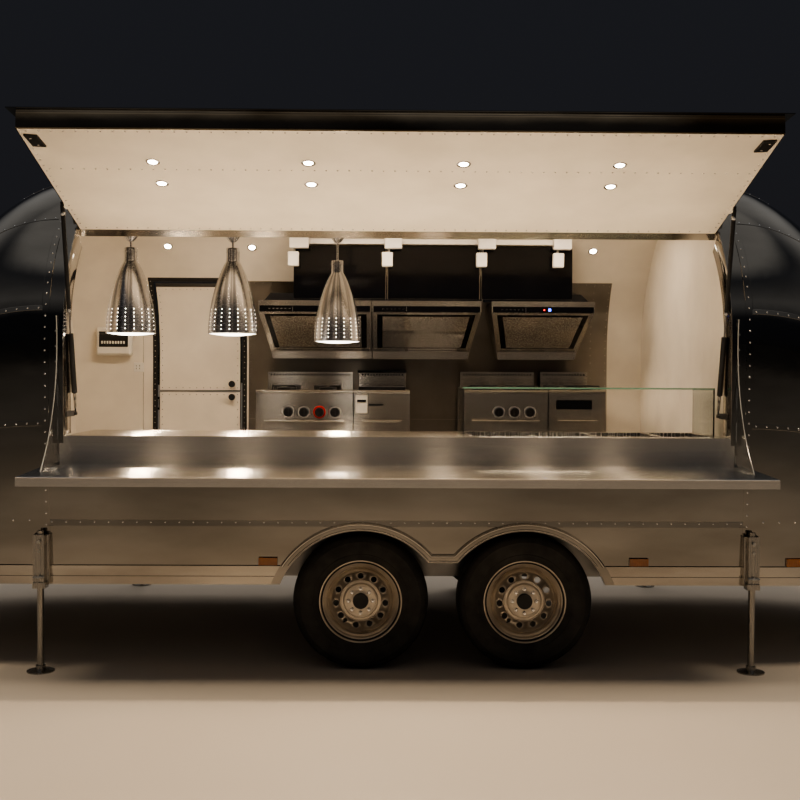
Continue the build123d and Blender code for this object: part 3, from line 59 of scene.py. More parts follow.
MID = Vector((middle("serving_wall", 0), middle("floor_deck", 1), 0))

# Body shell, as in the CAD source
SECTION_HALF = 1.865
HALF_WIDTH = 1.22
CROWN_Z = 2.785
BOTTOM_Z = 0.457
RAIL_TOP_Z = 0.557
FLOOR_Z = 0.6
WALL = 0.038
WALL_RADIUS = 21.0
SHOULDER = 0.85
SHOULDER_ANGLE = math.radians(36.8)
CAP_LENGTH = 1.25
CAP_PLAN_POWER = 2.6
CAP_PROFILE_POWER = 2.0
OPENING_HALF = 1.77
COUNTER_Z = 1.248
SHELF_Z = 1.094
HINGE_ANGLE = math.radians(44.35)
HATCH_HALF = 1.735
WHEEL_XS = (-0.197, 0.683)
WHEEL_Y = 1.095
WHEEL_Z = 0.364
DOOR_X = -1.445
DOOR_HALF = 0.3
SEAM_Z = 0.797


# Finishes

EVEN = (1, 1, 1)


def node(look, kind, **values):
    """A new node in the tree of a finish or the world, with its sockets or properties set."""
    made = look.node_tree.nodes.new(kind)
    for key, value in values.items():
        socket = made.inputs.get(key.replace("_", " "))
        if socket is None:
            setattr(made, key, value)
        else:
            socket.default_value = value
    return made


def link(look, source, target):
    look.node_tree.links.new(source, target)


def shader(look):
    return look.node_tree.nodes["Principled BSDF"]


def noise(look, scale, stretch=EVEN, detail=3.0, kind="ShaderNodeTexNoise", out="Fac"):
    """A pattern in the piece's own coordinates, scale features to the metre."""
    own = node(look, "ShaderNodeTexCoord")
    turn = node(look, "ShaderNodeMapping", Scale=stretch)
    pattern = node(look, kind, Scale=scale, Detail=detail)
    link(look, own.outputs["Object"], turn.inputs["Vector"])
    link(look, turn.outputs["Vector"], pattern.inputs["Vector"])
    return pattern.outputs[out]


def dull(look, source, low, high, start=0.3, end=0.7):
    """Roughness from low to high over the pattern's middle range, start to end."""
    sized = node(look, "ShaderNodeMapRange", From_Min=start, From_Max=end, To_Min=low, To_Max=high)
    link(look, source, sized.inputs["Value"])
    link(look, sized.outputs["Result"], shader(look).inputs["Roughness"])


def tint(look, source, dark, light, start=0.3, end=0.7):
    """Base colour from dark to light over the pattern's middle range."""
    ramp = node(look, "ShaderNodeValToRGB")
    for stop, position, colour in zip(ramp.color_ramp.elements, (start, end), (dark, light)):
        stop.position, stop.color = position, (*colour, 1)
    link(look, source, ramp.inputs["Fac"])
    link(look, ramp.outputs["Color"], shader(look).inputs["Base Color"])


def bump(look, source, strength, distance):
    """Relief after a pattern, on top of any relief that is there."""
    relief = node(look, "ShaderNodeBump", Strength=strength, Distance=distance)
    link(look, source, relief.inputs["Height"])
    target = shader(look).inputs["Normal"]
    if target.links:
        link(look, target.links[0].from_socket, relief.inputs["Normal"])
    link(look, relief.outputs["Normal"], target)


def surface(name, colour, metallic, roughness, tone=None, gloss=None, reliefs=(), **sockets):
    """A material whose constant values sit on the shader's own sockets. tone, gloss and each of the
    reliefs are a pattern, as noise() takes it, and what tint(), dull() or bump() takes after it."""
    look = bpy.data.materials.new(name)
    look.use_nodes = True
    constants = dict(sockets, Base_Color=(*colour, 1), Metallic=metallic, Roughness=roughness)
    for key, value in constants.items():
        shader(look).inputs[key.replace("_", " ")].default_value = value
    for put, settings in ((tint, tone), (dull, gloss), *((bump, relief) for relief in reliefs)):
        if settings:
            pattern, *rest = settings
            put(look, noise(look, *pattern), *rest)
    return look


def shaded(colour, share):
    return [part * share for part in colour]


def polished(name, dark, light, low, high, wave):
    """Polished aluminium: a near mirror with haze, cloudy tone and slack in the sheet."""
    return surface(name, light, 1.0, low, ((1.6, (0.8, 1, 2.6), 9), dark, light, 0.36, 0.64),
                   ((2.3, (1, 1, 1.6), 6), low, high),
                   [((1.7, (1, 1, 1.3), 2), wave, 0.012), ((9.0,), wave * 0.6, 0.0015)])


def brushed(name, colour, stretch, low=0.18, high=0.25, relief=0.1, shade=0.9):
    """Brushed steel, its grain along the axis that stretch leaves short."""
    look = surface(name, colour, 1.0, low, ((3.0, EVEN, 4), shaded(colour, shade), colour),
                   ((1.0, shaded(stretch, 0.3)), low, high), [((1.0, stretch, 2), relief, 0.00022)])
    along_x = stretch[0] < stretch[2]
    grained(look, "X" if along_x else "Z", 1.0, 0.0 if along_x else 0.25)
    return look


def plain(name, colour, roughness, scale, relief=0.2):
    """Paint, plastic or rubber with a mottled colour and a fine skin."""
    return surface(name, colour, 0.0, roughness, ((4.0, EVEN, 5), shaded(colour, 0.88), colour),
                   ((14.0, EVEN, 4), roughness - 0.06, roughness + 0.08), [((scale,), relief, 0.0006)])


def glowing(name, colour, strength):
    """A lit lamp face, a little uneven."""
    return surface(name, colour, 0.0, 0.4, ((40.0,), shaded(colour, 0.9), colour),
                   Emission_Color=(*colour, 1), Emission_Strength=strength)


def clear(name, colour, roughness):
    """Clear sheet with faint smears."""
    return surface(name, colour, 0.0, roughness, ((3.0,), shaded(colour, 0.985), colour),
                   ((6.0, (1, 1, 3), 5), roughness, roughness + 0.1, 0.5, 0.8),
                   Transmission_Weight=1.0, IOR=1.47)


def lens(name, colour):
    """A ribbed lamp lens."""
    return surface(name, colour, 0.0, 0.22, ((30.0,), shaded(colour, 0.75), colour), None,
                   [((32.0, EVEN, 3.0, "ShaderNodeTexWave"), 0.5, 0.0012)],
                   Coat_Weight=0.6, Coat_Roughness=0.08)


def grained(look, axis, amount, turn=0.0):
    """Stretches highlights across a grain that runs round or along an axis of the piece."""
    across = node(look, "ShaderNodeTangent", direction_type="RADIAL", axis=axis)
    link(look, across.outputs["Tangent"], shader(look).inputs["Tangent"])
    shader(look).inputs["Anisotropic"].default_value = amount
    shader(look).inputs["Anisotropic Rotation"].default_value = turn


def spun():
    """Lamp steel, turned round each lamp's axis, so that its highlights stretch down the shade. Its light and dark
    streaks by angle round the axis are painted reflection in its colour.
    """
    look = surface("lamp_steel", (0.7, 0.68, 0.66), 1.0, 0.3, None,
                   ((1.0, (30, 30, 900), 2), 0.2, 0.28), [((1.0, (9, 9, 900), 2), 0.06, 0.0002)])
    flatten = node(look, "ShaderNodeVectorMath", operation="MULTIPLY")
    flatten.inputs[1].default_value = (1, 1, 0)
    source = node(look, "ShaderNodeTexCoord").outputs["Generated"]
    for step in (node(look, "ShaderNodeMapping", Location=(-0.5, -0.5, 0)), flatten,
                 node(look, "ShaderNodeVectorMath", operation="NORMALIZE"),
                 node(look, "ShaderNodeTexNoise", Scale=3.0, Detail=3.0, Roughness=0.5)):
        link(look, source, step.inputs[0])
        source = step.outputs[0]
    # Painted reflection: dark to light streaks by angle round each shade's axis stand in for reflected lamps
    tint(look, source, (0.34, 0.35, 0.38), (0.88, 0.89, 0.92), 0.42, 0.58)
    grained(look, "Z", 0.8, 0.25)
    return look


ALONG_X = (2, 900, 900)
ALONG_Z = (700, 700, 2)
# The body's dark base colours are painted shade for dim surroundings in its reflections; the cloudy tone between them
# varies at random
BODY = polished("body_aluminium", (0.19, 0.18, 0.165), (0.265, 0.253, 0.235), 0.05, 0.12, 0.15)
TRIM = polished("trim_aluminium", (0.42, 0.4, 0.37), (0.56, 0.54, 0.51), 0.06, 0.14, 0.1)
RAIL = polished("rail_aluminium", (0.27, 0.25, 0.225), (0.42, 0.4, 0.37), 0.1, 0.22, 0.1)
# The lip's warm brown to pale tone is painted reflection of warm surroundings, not the aluminium's own colour
LIP = polished("lip_aluminium", (0.16, 0.105, 0.055), (0.55, 0.45, 0.32), 0.06, 0.14, 0.6)
DULL = brushed("dull_aluminium", (0.62, 0.62, 0.62), (60, 60, 61), 0.38, 0.5, 0.3)
STEEL = brushed("stainless", (0.7, 0.68, 0.65), ALONG_X)
UPRIGHT = brushed("stainless_upright", (0.62, 0.6, 0.57), ALONG_Z, 0.22, 0.3)
SPLASH_STEEL = brushed("splash_steel", (0.36, 0.335, 0.305), ALONG_Z, 0.3, 0.4, 0.14, 0.7)
POST = brushed("post_steel", (0.42, 0.4, 0.37), (700, 700, 4), 0.2, 0.3)
SPUN = spun()
CREAM = plain("cream_panel", (0.83, 0.765, 0.66), 0.34, 220.0)
WHITE = plain("white_plastic", (0.84, 0.81, 0.74), 0.4, 180.0)
BLACK = plain("black_plastic", (0.012, 0.012, 0.013), 0.42, 260.0)
RUBBER = plain("door_rubber", (0.02, 0.019, 0.018), 0.6, 300.0)
RED = plain("red_plastic", (0.55, 0.02, 0.02), 0.3, 200.0)
CHASSIS = plain("chassis_black", (0.025, 0.025, 0.027), 0.5, 90.0)
FLOORING = plain("floor_board", (0.16, 0.15, 0.14), 0.55, 160.0, 0.5)
GLASS_BLACK = surface("black_gloss", (0.004, 0.004, 0.005), 0.0, 0.06, None, ((4.0, EVEN, 5), 0.05, 0.14))
ACRYLIC = clear("clear_acrylic", (0.96, 0.98, 0.98), 0.02)
GLASS = clear("clear_glass", (0.93, 0.985, 0.96), 0.01)
GLASS_EDGE = plain("glass_edge", (0.1, 0.2, 0.155), 0.12, 60.0)
ACRYLIC_EDGE = plain("acrylic_edge", (0.3, 0.31, 0.31), 0.15, 60.0)
CHROME = surface("chrome", (0.88, 0.88, 0.88), 1.0, 0.08, None, ((30.0,), 0.06, 0.14))
ROD = surface("dark_chrome", (0.3, 0.3, 0.31), 1.0, 0.1, None, ((30.0,), 0.08, 0.18))
BULB = glowing("lamp_bulb", (1.0, 0.92, 0.8), 6.0)
SPOT = glowing("spot_lens", (1.0, 0.9, 0.74), 24.0)
BLUE = glowing("blue_light", (0.05, 0.1, 1.0), 8.0)
REDLIGHT = glowing("red_light", (1.0, 0.03, 0.02), 3.0)
AMBER = lens("amber_lens", (0.34, 0.11, 0.012))
REDLENS = lens("red_lens", (0.5, 0.02, 0.015))
# Zinc with its spangle, tyre rubber greyer where dust sits, and wheel paint with flake and brake dust
ZINC = surface("galvanised_steel", (0.45, 0.45, 0.44), 0.9, 0.42,
               ((60.0, EVEN, 3.0, "ShaderNodeTexVoronoi", "Color"), (0.34, 0.34, 0.34), (0.52, 0.52, 0.51),
                0.1, 0.9),
               ((25.0, EVEN, 4), 0.34, 0.5), [((120.0,), 0.2, 0.0004)])
TYRE = surface("tyre", (0.02, 0.02, 0.02), 0.0, 0.7, ((7.0, EVEN, 6), (0.01, 0.01, 0.01), (0.03, 0.028, 0.026)),
               ((18.0, EVEN, 4), 0.55, 0.8), [((350.0,), 0.3, 0.0005)])
WHEEL = surface("wheel_steel", (0.6, 0.54, 0.46), 0.7, 0.36,
                ((9.0, EVEN, 5), (0.5, 0.44, 0.37), (0.72, 0.66, 0.57)), ((600.0,), 0.3, 0.44),
                [((260.0,), 0.12, 0.0004)], Coat_Weight=0.35, Coat_Roughness=0.2)

# The CAD nodes' finishes, by how their names start
for look, starts in (
    (BODY, "serving_wall door_wall roof_panel front_cap rear_cap hatch_shell door_lower door_upper arch_trims"),
    (RAIL, "rub_rail"),
    (TRIM, "hatch_hinge door_hinges"),
    (ROD, "strut_rod_"),
    (STEEL, "serving_shelf serving_counter range_hoods cookers counter_base"),
    (UPRIGHT, "food_pans"),
    (SPLASH_STEEL, "splash_panel"),
    (CREAM, "bulkheads hatch_liner"),
    (DULL, "belly_pan roof_vents wheel_wells"),
    (ZINC, "drawbar coupling_head jack_tube jack_leg rear_bumper"),
    (POST, "steady_sleeves leg_"),
    (CHASSIS, "axles"),
    (FLOORING, "floor_deck"),
    (BLACK, "strut_tube_ strut_brackets"),
    (GLASS_BLACK, "flue_casings"),
    (ACRYLIC, "side_guards"),
    (GLASS, "sneeze_glass"),
    (SPUN, "heat_lamps"),
    (AMBER, "marker_lamps"),
    (REDLENS, "tail_lamps"),
    (TYRE, "tyre_"),
    (WHEEL, "rim_"),
):
    for name, cad_node in NODES.items():
        if name.startswith(tuple(starts.split())):
            cad_node.data.materials.clear()
            cad_node.data.materials.append(look)


# Mesh building

def ring(centre, side, other, radius, sides):
    """Points round a centre, in the plane of two directions."""
    turns = [2 * math.pi * i / sides for i in range(sides)]
    return [centre + (side * math.cos(turn) + other * math.sin(turn)) * radius for turn in turns]


class Shape:
    """Points and faces of one piece, in the trailer's frame."""

    def __init__(self):
        self.points = []
        self.faces = []

    def add(self, points, faces):
        base = len(self.points)
        self.points.extend(Vector(p) for p in points)
        self.faces.extend(tuple(base + i for i in face) for face in faces)

    def loft(self, rows, caps=True, closed=False):
        """A skin over rings with equal counts of points, each ring joined to the next."""
        count = len(rows[0])
        size = len(rows) * count
        faces = []
        for start in range(0, size if closed else size - count, count):
            for k in range(count):
                near, far = start + (k + 1) % count, start + count
                faces.append((start + k, near, (near + count) % size, (far + k) % size))
        if caps:
            faces += [range(count)[::-1], range(size - count, size)]
        self.add([p for row in rows for p in row], faces)

    def box(self, x0, x1, y0, y1, z0, z1, edge=0.002):
        """A box with chamfered edges."""
        edge = min(edge, 0.45 * (x1 - x0), 0.45 * (y1 - y0), 0.45 * (z1 - z0))
        rows = []
        for z, cut in ((z0, edge), (z0 + edge, 0), (z1 - edge, 0), (z1, edge)):
            row = []
            for x, y, dx, dy in ((x0, y0, 1, 1), (x1, y0, -1, 1), (x1, y1, -1, -1), (x0, y1, 1, -1)):
                pair = [(x + dx * cut, y + dy * edge, z), (x + dx * edge, y + dy * cut, z)]
                row += pair if dx == dy else pair[::-1]
            rows.append(row)
        self.loft(rows)

    def lathe(self, outline, spot, steps=48, closed=False):
        """A turned form: outline holds (radius, height), and spot(radius, angle, height) is a point."""
        turns = [2 * math.pi * i / steps for i in range(steps)]
        self.loft([[spot(radius, turn, height) for turn in turns] for radius, height in outline], False, closed)

    def tube(self, path, radius, sides=10):
        """A round bar along a path."""
        path = [Vector(p) for p in path]
        side, rows = None, []
        for before, point, after in zip([path[0], *path], path, [*path[1:], path[-1]]):
            ahead = (after - before).normalized()
            if side is None:
                side = ahead.orthogonal()
            side = (side - ahead * side.dot(ahead)).normalized()
            rows.append(ring(point, side, ahead.cross(side), radius, sides))
        self.loft(rows)

    def rivet(self, point, normal, radius=0.0052, height=0.0028):
        """A low domed head on a surface."""
        point, normal = Vector(point), Vector(normal).normalized()
        side = normal.orthogonal().normalized()
        self.loft([ring(point + normal * height * rise, side, normal.cross(side), radius * reach, 8)
                   for reach, rise in ((1.0, -0.1), (0.82, 0.62), (0.0, 1.0))])

    def heads(self, spots, *sizes):
        """A rivet at each (point, normal)."""
        for point, normal in spots:
            self.rivet(point, normal, *sizes)

    def ribbon(self, line, ways, half_width, thickness):
        """A flat strip along a line of (point, normal); ways is its sideways direction, or a list of them."""
        bevel = 1 - min(0.3, thickness / half_width)
        rows = []
        for way, (point, normal) in zip(ways if isinstance(ways, list) else [ways] * len(line), line):
            point, side = Vector(point), Vector(way).normalized() * half_width
            lift = Vector(normal).normalized() * thickness
            rows.append([point + side * across + lift * up for across, up in (
                (-1, -0.4), (-1, 0.5), (-bevel, 1), (bevel, 1), (1, 0.5), (1, -0.4))])
        self.loft(rows)

    def slab(self, corners, normal, near, far, edge=0.0015):
        """A plate over a flat outline, from near to far along its normal, with a chamfered face."""
        corners, normal = [Vector(c) for c in corners], Vector(normal).normalized()
        centre = sum(corners, Vector()) / len(corners)
        self.loft([[c + (centre - c).normalized() * shrink + normal * out for c in corners]
                   for out, shrink in ((near, 0.0), (far - edge, 0.0), (far, edge * 1.4))])

    def panel(self, near, far):
        """A thick sheet between two grids of points."""
        wide, back = len(near[0]), len(near) * len(near[0])
        faces = []
        for start in range(0, back - wide, wide):
            for k in range(start, start + wide - 1):
                face = (k, k + 1, k + wide + 1, k + wide)
                faces += [face, [back + i for i in reversed(face)]]
        rim = [*range(wide), *range(2 * wide - 1, back, wide), *range(back - 2, back - wide - 1, -1),
               *range(back - 2 * wide, 0, -wide)]
        faces += [(b, a, back + a, back + b) for a, b in zip(rim, rim[1:] + rim[:1])]
        self.add([p for rows in (near, far) for row in rows for p in row], faces)

    def wall_sheet(self, area, near, far):
        """A bent sheet over the straight section's (x0, x1, run0, run1), from near to far off its skin."""
        x0, x1, run0, run1 = area
        self.panel(*([[on_body(x, run, out)[0] for run in grid(run0, run1, 30)] for x in grid(x0, x1, 8)]
                     for out in (near, far)))

    def sheet(self, loops, inner, near, far):
        """A sheet inside the first of some flat loops and outside the rest, through the inner points;
        near(u, v) and far(u, v) give its two faces."""
        flat = [Vector(p) for points in (*loops, inner) for p in points]
        edges = []
        for loop in loops:
            base = len(edges)
            edges += [(base + i, base + (i + 1) % len(loop)) for i in range(len(loop))]
        spots, _, triangles, *_ = delaunay_2d_cdt(flat, edges, [], 0, 1e-5)

        def inside(u, v, loop):
            """Whether a line from a point crosses an odd number of the loop's sides."""
            crossed = [(a, b) for a, b in zip(loop, loop[1:] + loop[:1]) if (a[1] > v) != (b[1] > v)]
            return sum(u < (b[0] - a[0]) * (v - a[1]) / (b[1] - a[1]) + a[0] for a, b in crossed) % 2

        kept = []
        for face in triangles:
            centre = sum((spots[i] for i in face), Vector((0, 0))) / 3
            within, *cut = (inside(*centre, loop) for loop in loops)
            if within and not any(cut):
                kept.append(tuple(face))
        count = len(spots)
        faces = kept + [tuple(count + i for i in reversed(face)) for face in kept]
        borders = {side for face in kept for side in zip(face, face[1:] + face[:1])}
        faces += [(b, a, count + a, count + b) for a, b in borders if (b, a) not in borders]
        self.add([place(*p) for place in (near, far) for p in spots], faces)


WELD = 2e-6


def piece(name, shape, look, body="trailer", angle=35.0, replaces=()):
    """Makes the object, with smooth faces up to an angle, and lets it ride on a body."""
    mesh = bpy.data.meshes.new(name)
    mesh.from_pydata([p + MID for p in shape.points], [], shape.faces)
    mesh.validate()
    work = bmesh.new()
    work.from_mesh(mesh)
    bmesh.ops.remove_doubles(work, verts=work.verts, dist=WELD)
    bmesh.ops.delete(work, geom=[v for v in work.verts if not v.link_faces], context="VERTS")
    bmesh.ops.recalc_face_normals(work, faces=work.faces)
    work.to_mesh(mesh)
    work.free()
    mesh.polygons.foreach_set("use_smooth", [True] * len(mesh.polygons))
    mesh.set_sharp_from_angle(angle=math.radians(angle))
    mesh.materials.append(look)
    made = bpy.data.objects.new(name, mesh)
    bpy.context.scene.collection.objects.link(made)
    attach(made, body)
    if replaces:
        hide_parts(*replaces)
    return made


# The body's section: wall, shoulder and crown arcs

class Section:
    """One cross-section of the body, walked from the door side's foot over the roof."""

    def __init__(self, half_width=HALF_WIDTH, crown_z=CROWN_Z):
        self.shoulder = half_width * SHOULDER / HALF_WIDTH
        self.crown = (half_width - self.shoulder) / math.cos(SHOULDER_ANGLE) + self.shoulder
        self.crown_z = crown_z - self.crown
        self.wall_centre_y = half_width - WALL_RADIUS
        self.shoulder_y = half_width - self.shoulder
        self.shoulder_z = self.crown_z + (self.crown - self.shoulder) * math.sin(SHOULDER_ANGLE)
        self.wall_turn = math.asin((self.shoulder_z - BOTTOM_Z) / WALL_RADIUS)
        self.wall_run = WALL_RADIUS * self.wall_turn
        self.shoulder_run = self.shoulder * SHOULDER_ANGLE
        self.crown_run = self.crown * (math.pi / 2 - SHOULDER_ANGLE)
        self.half_run = self.wall_run + self.shoulder_run + self.crown_run

    def at(self, run, out=0.0):
        """(y, z) and the outward normal (y, z) at a run along the outline."""
        if run > self.half_run:
            (y, z), (ny, nz) = self.at(2 * self.half_run - run, out)
            return (-y, z), (-ny, nz)
        if run <= self.wall_run:
            angle = run / WALL_RADIUS - self.wall_turn
            centre, radius = (self.wall_centre_y, self.shoulder_z), WALL_RADIUS
        elif run <= self.wall_run + self.shoulder_run:
            angle = (run - self.wall_run) / self.shoulder
            centre, radius = (self.shoulder_y, self.shoulder_z), self.shoulder
        else:
            angle = SHOULDER_ANGLE + (run - self.wall_run - self.shoulder_run) / self.crown
            centre, radius = (0.0, self.crown_z), self.crown
        normal = (math.cos(angle), math.sin(angle))
        radius += out
        return (centre[0] + normal[0] * radius, centre[1] + normal[1] * radius), normal

    def run_at(self, z):
        """The run on the door side where the outline reaches a height, up to the shoulder's end."""
        if z <= self.shoulder_z:
            return WALL_RADIUS * (self.wall_turn + math.asin((z - self.shoulder_z) / WALL_RADIUS))
        return self.wall_run + self.shoulder * math.asin((z - self.shoulder_z) / self.shoulder)

    def run_inside(self, z, out):
        """The run on the door side where the outline, moved out by a distance, reaches a height."""
        run = self.run_at(z)
        for _ in range(6):
            (_, now), (ny, _) = self.at(run, out)
            run += (z - now) / ny
        return run


BODY_SECTION = Section()
FULL_RUN = 2 * BODY_SECTION.half_run
CROWN_START = BODY_SECTION.wall_run + BODY_SECTION.shoulder_run
HINGE_RUN = CROWN_START + BODY_SECTION.crown * (HINGE_ANGLE - SHOULDER_ANGLE)


def on_body(x, run, out=0.0):
    """A point and normal on the straight section."""
    (y, z), (ny, nz) = BODY_SECTION.at(run, out)
    return (x, y, z), (0, ny, nz)


def inward(x, run, depth):
    """A point and inward normal on the lining of the straight section, depth inside the wall's face."""
    point, (_, ny, nz) = on_body(x, run, -WALL - depth)
    return point, (0, -ny, -nz)


def on_wall(x, z, side, out=0.0):
    """A point and normal on a wall at a height: side 1 is the door side and -1 the serving side."""
    (_, y, z), (_, ny, nz) = on_body(x, BODY_SECTION.run_at(z), out)
    return (x, side * y, z), (0, side * ny, nz)


def cap_section(station):
    """The section of an end cap at a share of its length."""
    wide = HALF_WIDTH * (1 - station ** CAP_PLAN_POWER) ** (1 / CAP_PLAN_POWER)
    rise = (CROWN_Z - BOTTOM_Z) * (1 - station ** CAP_PROFILE_POWER) ** (1 / CAP_PROFILE_POWER)
    return Section(wide, BOTTOM_Z + rise)


def on_cap(end, station, share, out=0.0):
    """A point and normal on an end cap: share runs 0 to 1 from the door side's foot over to the other."""
    def spot(t, s):
        section = cap_section(t)
        (y, z), _ = section.at(s * 2 * section.half_run)
        return Vector((end * (SECTION_HALF + CAP_LENGTH * t), y, z))

    step = 1e-3
    low, high = max(0.0, share - step), min(1.0, share + step)
    across = spot(station, high) - spot(station, low)
    along = spot(min(station + step, 0.998), share) - spot(max(station - step, 0.0), share)
    normal = across.cross(along).normalized()
    centre = Vector((end * SECTION_HALF, 0, 1.3))
    point = spot(station, share)
    if normal.dot(point - centre) < 0:
        normal.negate()
    return point + normal * out, normal


def grid(start, stop, steps):
    return [start + (stop - start) * i / steps for i in range(steps + 1)]


def arc_line(x, run0, run1, out, steps=60):
    """A line of points and normals across the straight section."""
    return [on_body(x, run, out) for run in grid(run0, run1, steps)]


# Seams and rivets on the body

RAIL_RUN = BODY_SECTION.run_at(RAIL_TOP_Z) + 0.002
SEAM_RUN = BODY_SECTION.run_at(SEAM_Z)
seams, rivets = Shape(), Shape()


def strap(x, run0, run1, steps, row0, row1, count, half_width=0.016, height=0.0015):
    """A seam strip across the body from run0 to run1, with a row of rivets from row0 to row1."""
    seams.ribbon(arc_line(x, run0, run1, 0.0, steps), (1, 0, 0), half_width, height)
    rivets.heads(arc_line(x, row0, row1, height, count))


for x in (-SECTION_HALF, SECTION_HALF):
    strap(x, RAIL_RUN, FULL_RUN - RAIL_RUN, 120, RAIL_RUN + 0.03, FULL_RUN - RAIL_RUN - 0.03, 95, 0.02, 0.0018)
for x in (-0.72, 0.28, 1.28):
    strap(x, SEAM_RUN, HINGE_RUN + 0.01, 50, SEAM_RUN + 0.04, HINGE_RUN - 0.02, 26)
for x in (-0.95, 0.0, 0.95):
    strap(x, HINGE_RUN + 0.04, FULL_RUN - HINGE_RUN - 0.045, 60, HINGE_RUN + 0.06,
          FULL_RUN - HINGE_RUN - 0.07, 29)
SEAM_XS = (-SECTION_HALF, 0, SECTION_HALF)
ROW_XS = grid(0.03 - SECTION_HALF, SECTION_HALF - 0.03, 49)
for side in (-1, 1):
    seams.ribbon([on_wall(x, SEAM_Z - 0.012, side) for x in SEAM_XS], (0, 0, 1), 0.016, 0.0015)
    rivets.heads([on_wall(x, SEAM_Z - 0.008, side, 0.0015) for x in ROW_XS])
seams.ribbon([on_body(x, HINGE_RUN + 0.03) for x in SEAM_XS], (0, 1, -1), 0.02, 0.0015)
rivets.heads([on_body(x, HINGE_RUN + 0.03, 0.0015) for x in ROW_XS])

GORES = (0.14, 0.24, 0.34, 0.44, 0.56, 0.66, 0.76, 0.86)
for end in (-1, 1):
    for share in GORES:
        way = on_cap(end, 0.5, share + 0.01)[0] - on_cap(end, 0.5, share)[0]
        seams.ribbon([on_cap(end, t, share, 0.0005) for t in grid(0.012, 0.93, 48)], way, 0.014, 0.0018)
        rivets.heads([on_cap(end, t, share, 0.002) for t in grid(0.03, 0.91, 19)])
    for i in range(1, 23):
        station = math.sin(math.pi / 2 * i / 22) * 0.985
        section = cap_section(station)
        share = section.run_at(SEAM_Z) / (2 * section.half_run)
        rivets.heads([on_cap(end, station, s, 0.001) for s in (share, 1 - share)])
piece("body_seams", seams, BODY, angle=12)
piece("body_rivets", rivets, CHROME, angle=60)

# Half-round mouldings on the arch trims
ARCH_RADIUS = 0.465
ARCH_CENTRE_Z = 0.281
ARCH_VALLEY_Z = 0.575
ARCH_DEPTH = 0.01


def arch_line(side, grow):
    """Points along both wheel arches of one side at a distance outside their cut."""
    radius = ARCH_RADIUS + grow
    foot = math.asin((RAIL_TOP_Z - ARCH_CENTRE_Z) / radius)
    valley = math.asin((ARCH_VALLEY_Z + grow - ARCH_CENTRE_Z) / radius)
    turns = [(WHEEL_XS[0], angle) for angle in grid(math.pi - foot, valley, 40)]
    turns += [(WHEEL_XS[1], angle) for angle in grid(math.pi - valley, foot, 40)]
    spots = [(x + radius * math.cos(angle), ARCH_CENTRE_Z + radius * math.sin(angle)) for x, angle in turns]
    return [on_wall(x, z, side, ARCH_DEPTH + 0.0015)[0] for x, z in spots]


mouldings = Shape()
for side in (-1, 1):
    for grow, radius in ((0.036, 0.0075), (0.008, 0.0045)):
        mouldings.tube(arch_line(side, grow), radius, 12)
piece("arch_mouldings", mouldings, TRIM, angle=60)

# Jambs of the serving opening
jambs = Shape()
jamb_runs = grid(BODY_SECTION.run_at(COUNTER_Z + 0.002), HINGE_RUN - 0.02, 60)
for end in (-1, 1):
    spots = [on_body(end * (OPENING_HALF - 0.0005), run, -0.07) for run in jamb_runs]
    jambs.ribbon([((x, -y, z), (-end, 0, 0)) for (x, y, z), _ in spots],
                 [(0, -ny, nz) for _, (_, ny, nz) in spots], 0.0715, 0.002)


def on_header(x, depth):
    """A point on the header's edge face, at a depth inside the roof's skin."""
    reach = BODY_SECTION.crown - depth
    return (x, -reach * math.cos(HINGE_ANGLE), BODY_SECTION.crown_z + reach * math.sin(HINGE_ANGLE))


head = OPENING_HALF - 0.003
header = ((-head, 0.002), (head, 0.002), (head, 0.0715), (-head, 0.0715))
jambs.slab([on_header(*corner) for corner in header], (0, -math.sin(HINGE_ANGLE), -math.cos(HINGE_ANGLE)), -0.0005, 0.002)
piece("opening_jambs", jambs, TRIM)


# Cream lining inside

def lined(depth):
    """The lining's face at a depth inside the wall's inner face, over (x, run)."""
    return lambda x, run: on_body(x, run, -WALL - depth)[0]


door_run0 = BODY_SECTION.run_inside(0.604, -WALL)
door_run1 = BODY_SECTION.run_inside(2.253, -WALL)
door0, door1 = DOOR_X - DOOR_HALF - 0.018, DOOR_X + DOOR_HALF + 0.018
well0, well1, well_run = -0.68, 1.166, BODY_SECTION.run_at(0.845)
floor_run = BODY_SECTION.run_at(FLOOR_Z + 0.004)
top_run = FULL_RUN - HINGE_RUN - 0.09
edge_x = SECTION_HALF - 0.002
side_runs = grid(floor_run + 0.05, top_run, 60)
outline = [(-edge_x, floor_run), (well0, floor_run), (well0, well_run), (well1, well_run), (well1, floor_run),
           (edge_x, floor_run), *((edge_x, run) for run in side_runs),
           *((-edge_x, run) for run in side_runs[::-1])]
door_runs = grid(door_run0, door_run1, 24)
doorway = [(door0, run) for run in door_runs] + [(door1, run) for run in door_runs[::-1]]
inner = [(x, run) for x in grid(-1.7, 1.7, 17) for run in grid(floor_run + 0.06, top_run - 0.04, 56)
         if not (door0 - 0.02 < x < door1 + 0.02 and run < door_run1 + 0.02)
         and not (-0.7 < x < 1.19 and run < well_run + 0.02)]
lining = Shape()
lining.sheet([outline, doorway], inner, lined(0.0045), lined(0.0015))
piece("kitchen_lining", lining, CREAM)


def cap_sheet(end, depth):
    """A cap's surface at a depth inside, as rows of points."""
    rows = []
    for t in [math.sin(math.pi / 2 * i / 28) * 0.93 for i in range(29)]:
        section = cap_section(t)
        start = section.run_at(FLOOR_Z + 0.004) / (2 * section.half_run)
        rows.append([on_cap(end, t, s, -depth)[0] for s in grid(start, 1 - start, 64)])
    return rows


for end, name in ((-1, "front"), (1, "rear")):
    shape = Shape()
    shape.panel(cap_sheet(end, WALL + 0.006), cap_sheet(end, WALL + 0.010))
    piece(f"{name}_cap_lining", shape, CREAM)


# Wheels

def on_wheel(x, side):
    """Points of a wheel: the height runs out from its middle plane."""
    def spot(radius, angle, height):
        return (x + radius * math.sin(angle), side * (WHEEL_Y + height), WHEEL_Z + radius * math.cos(angle))
    return spot


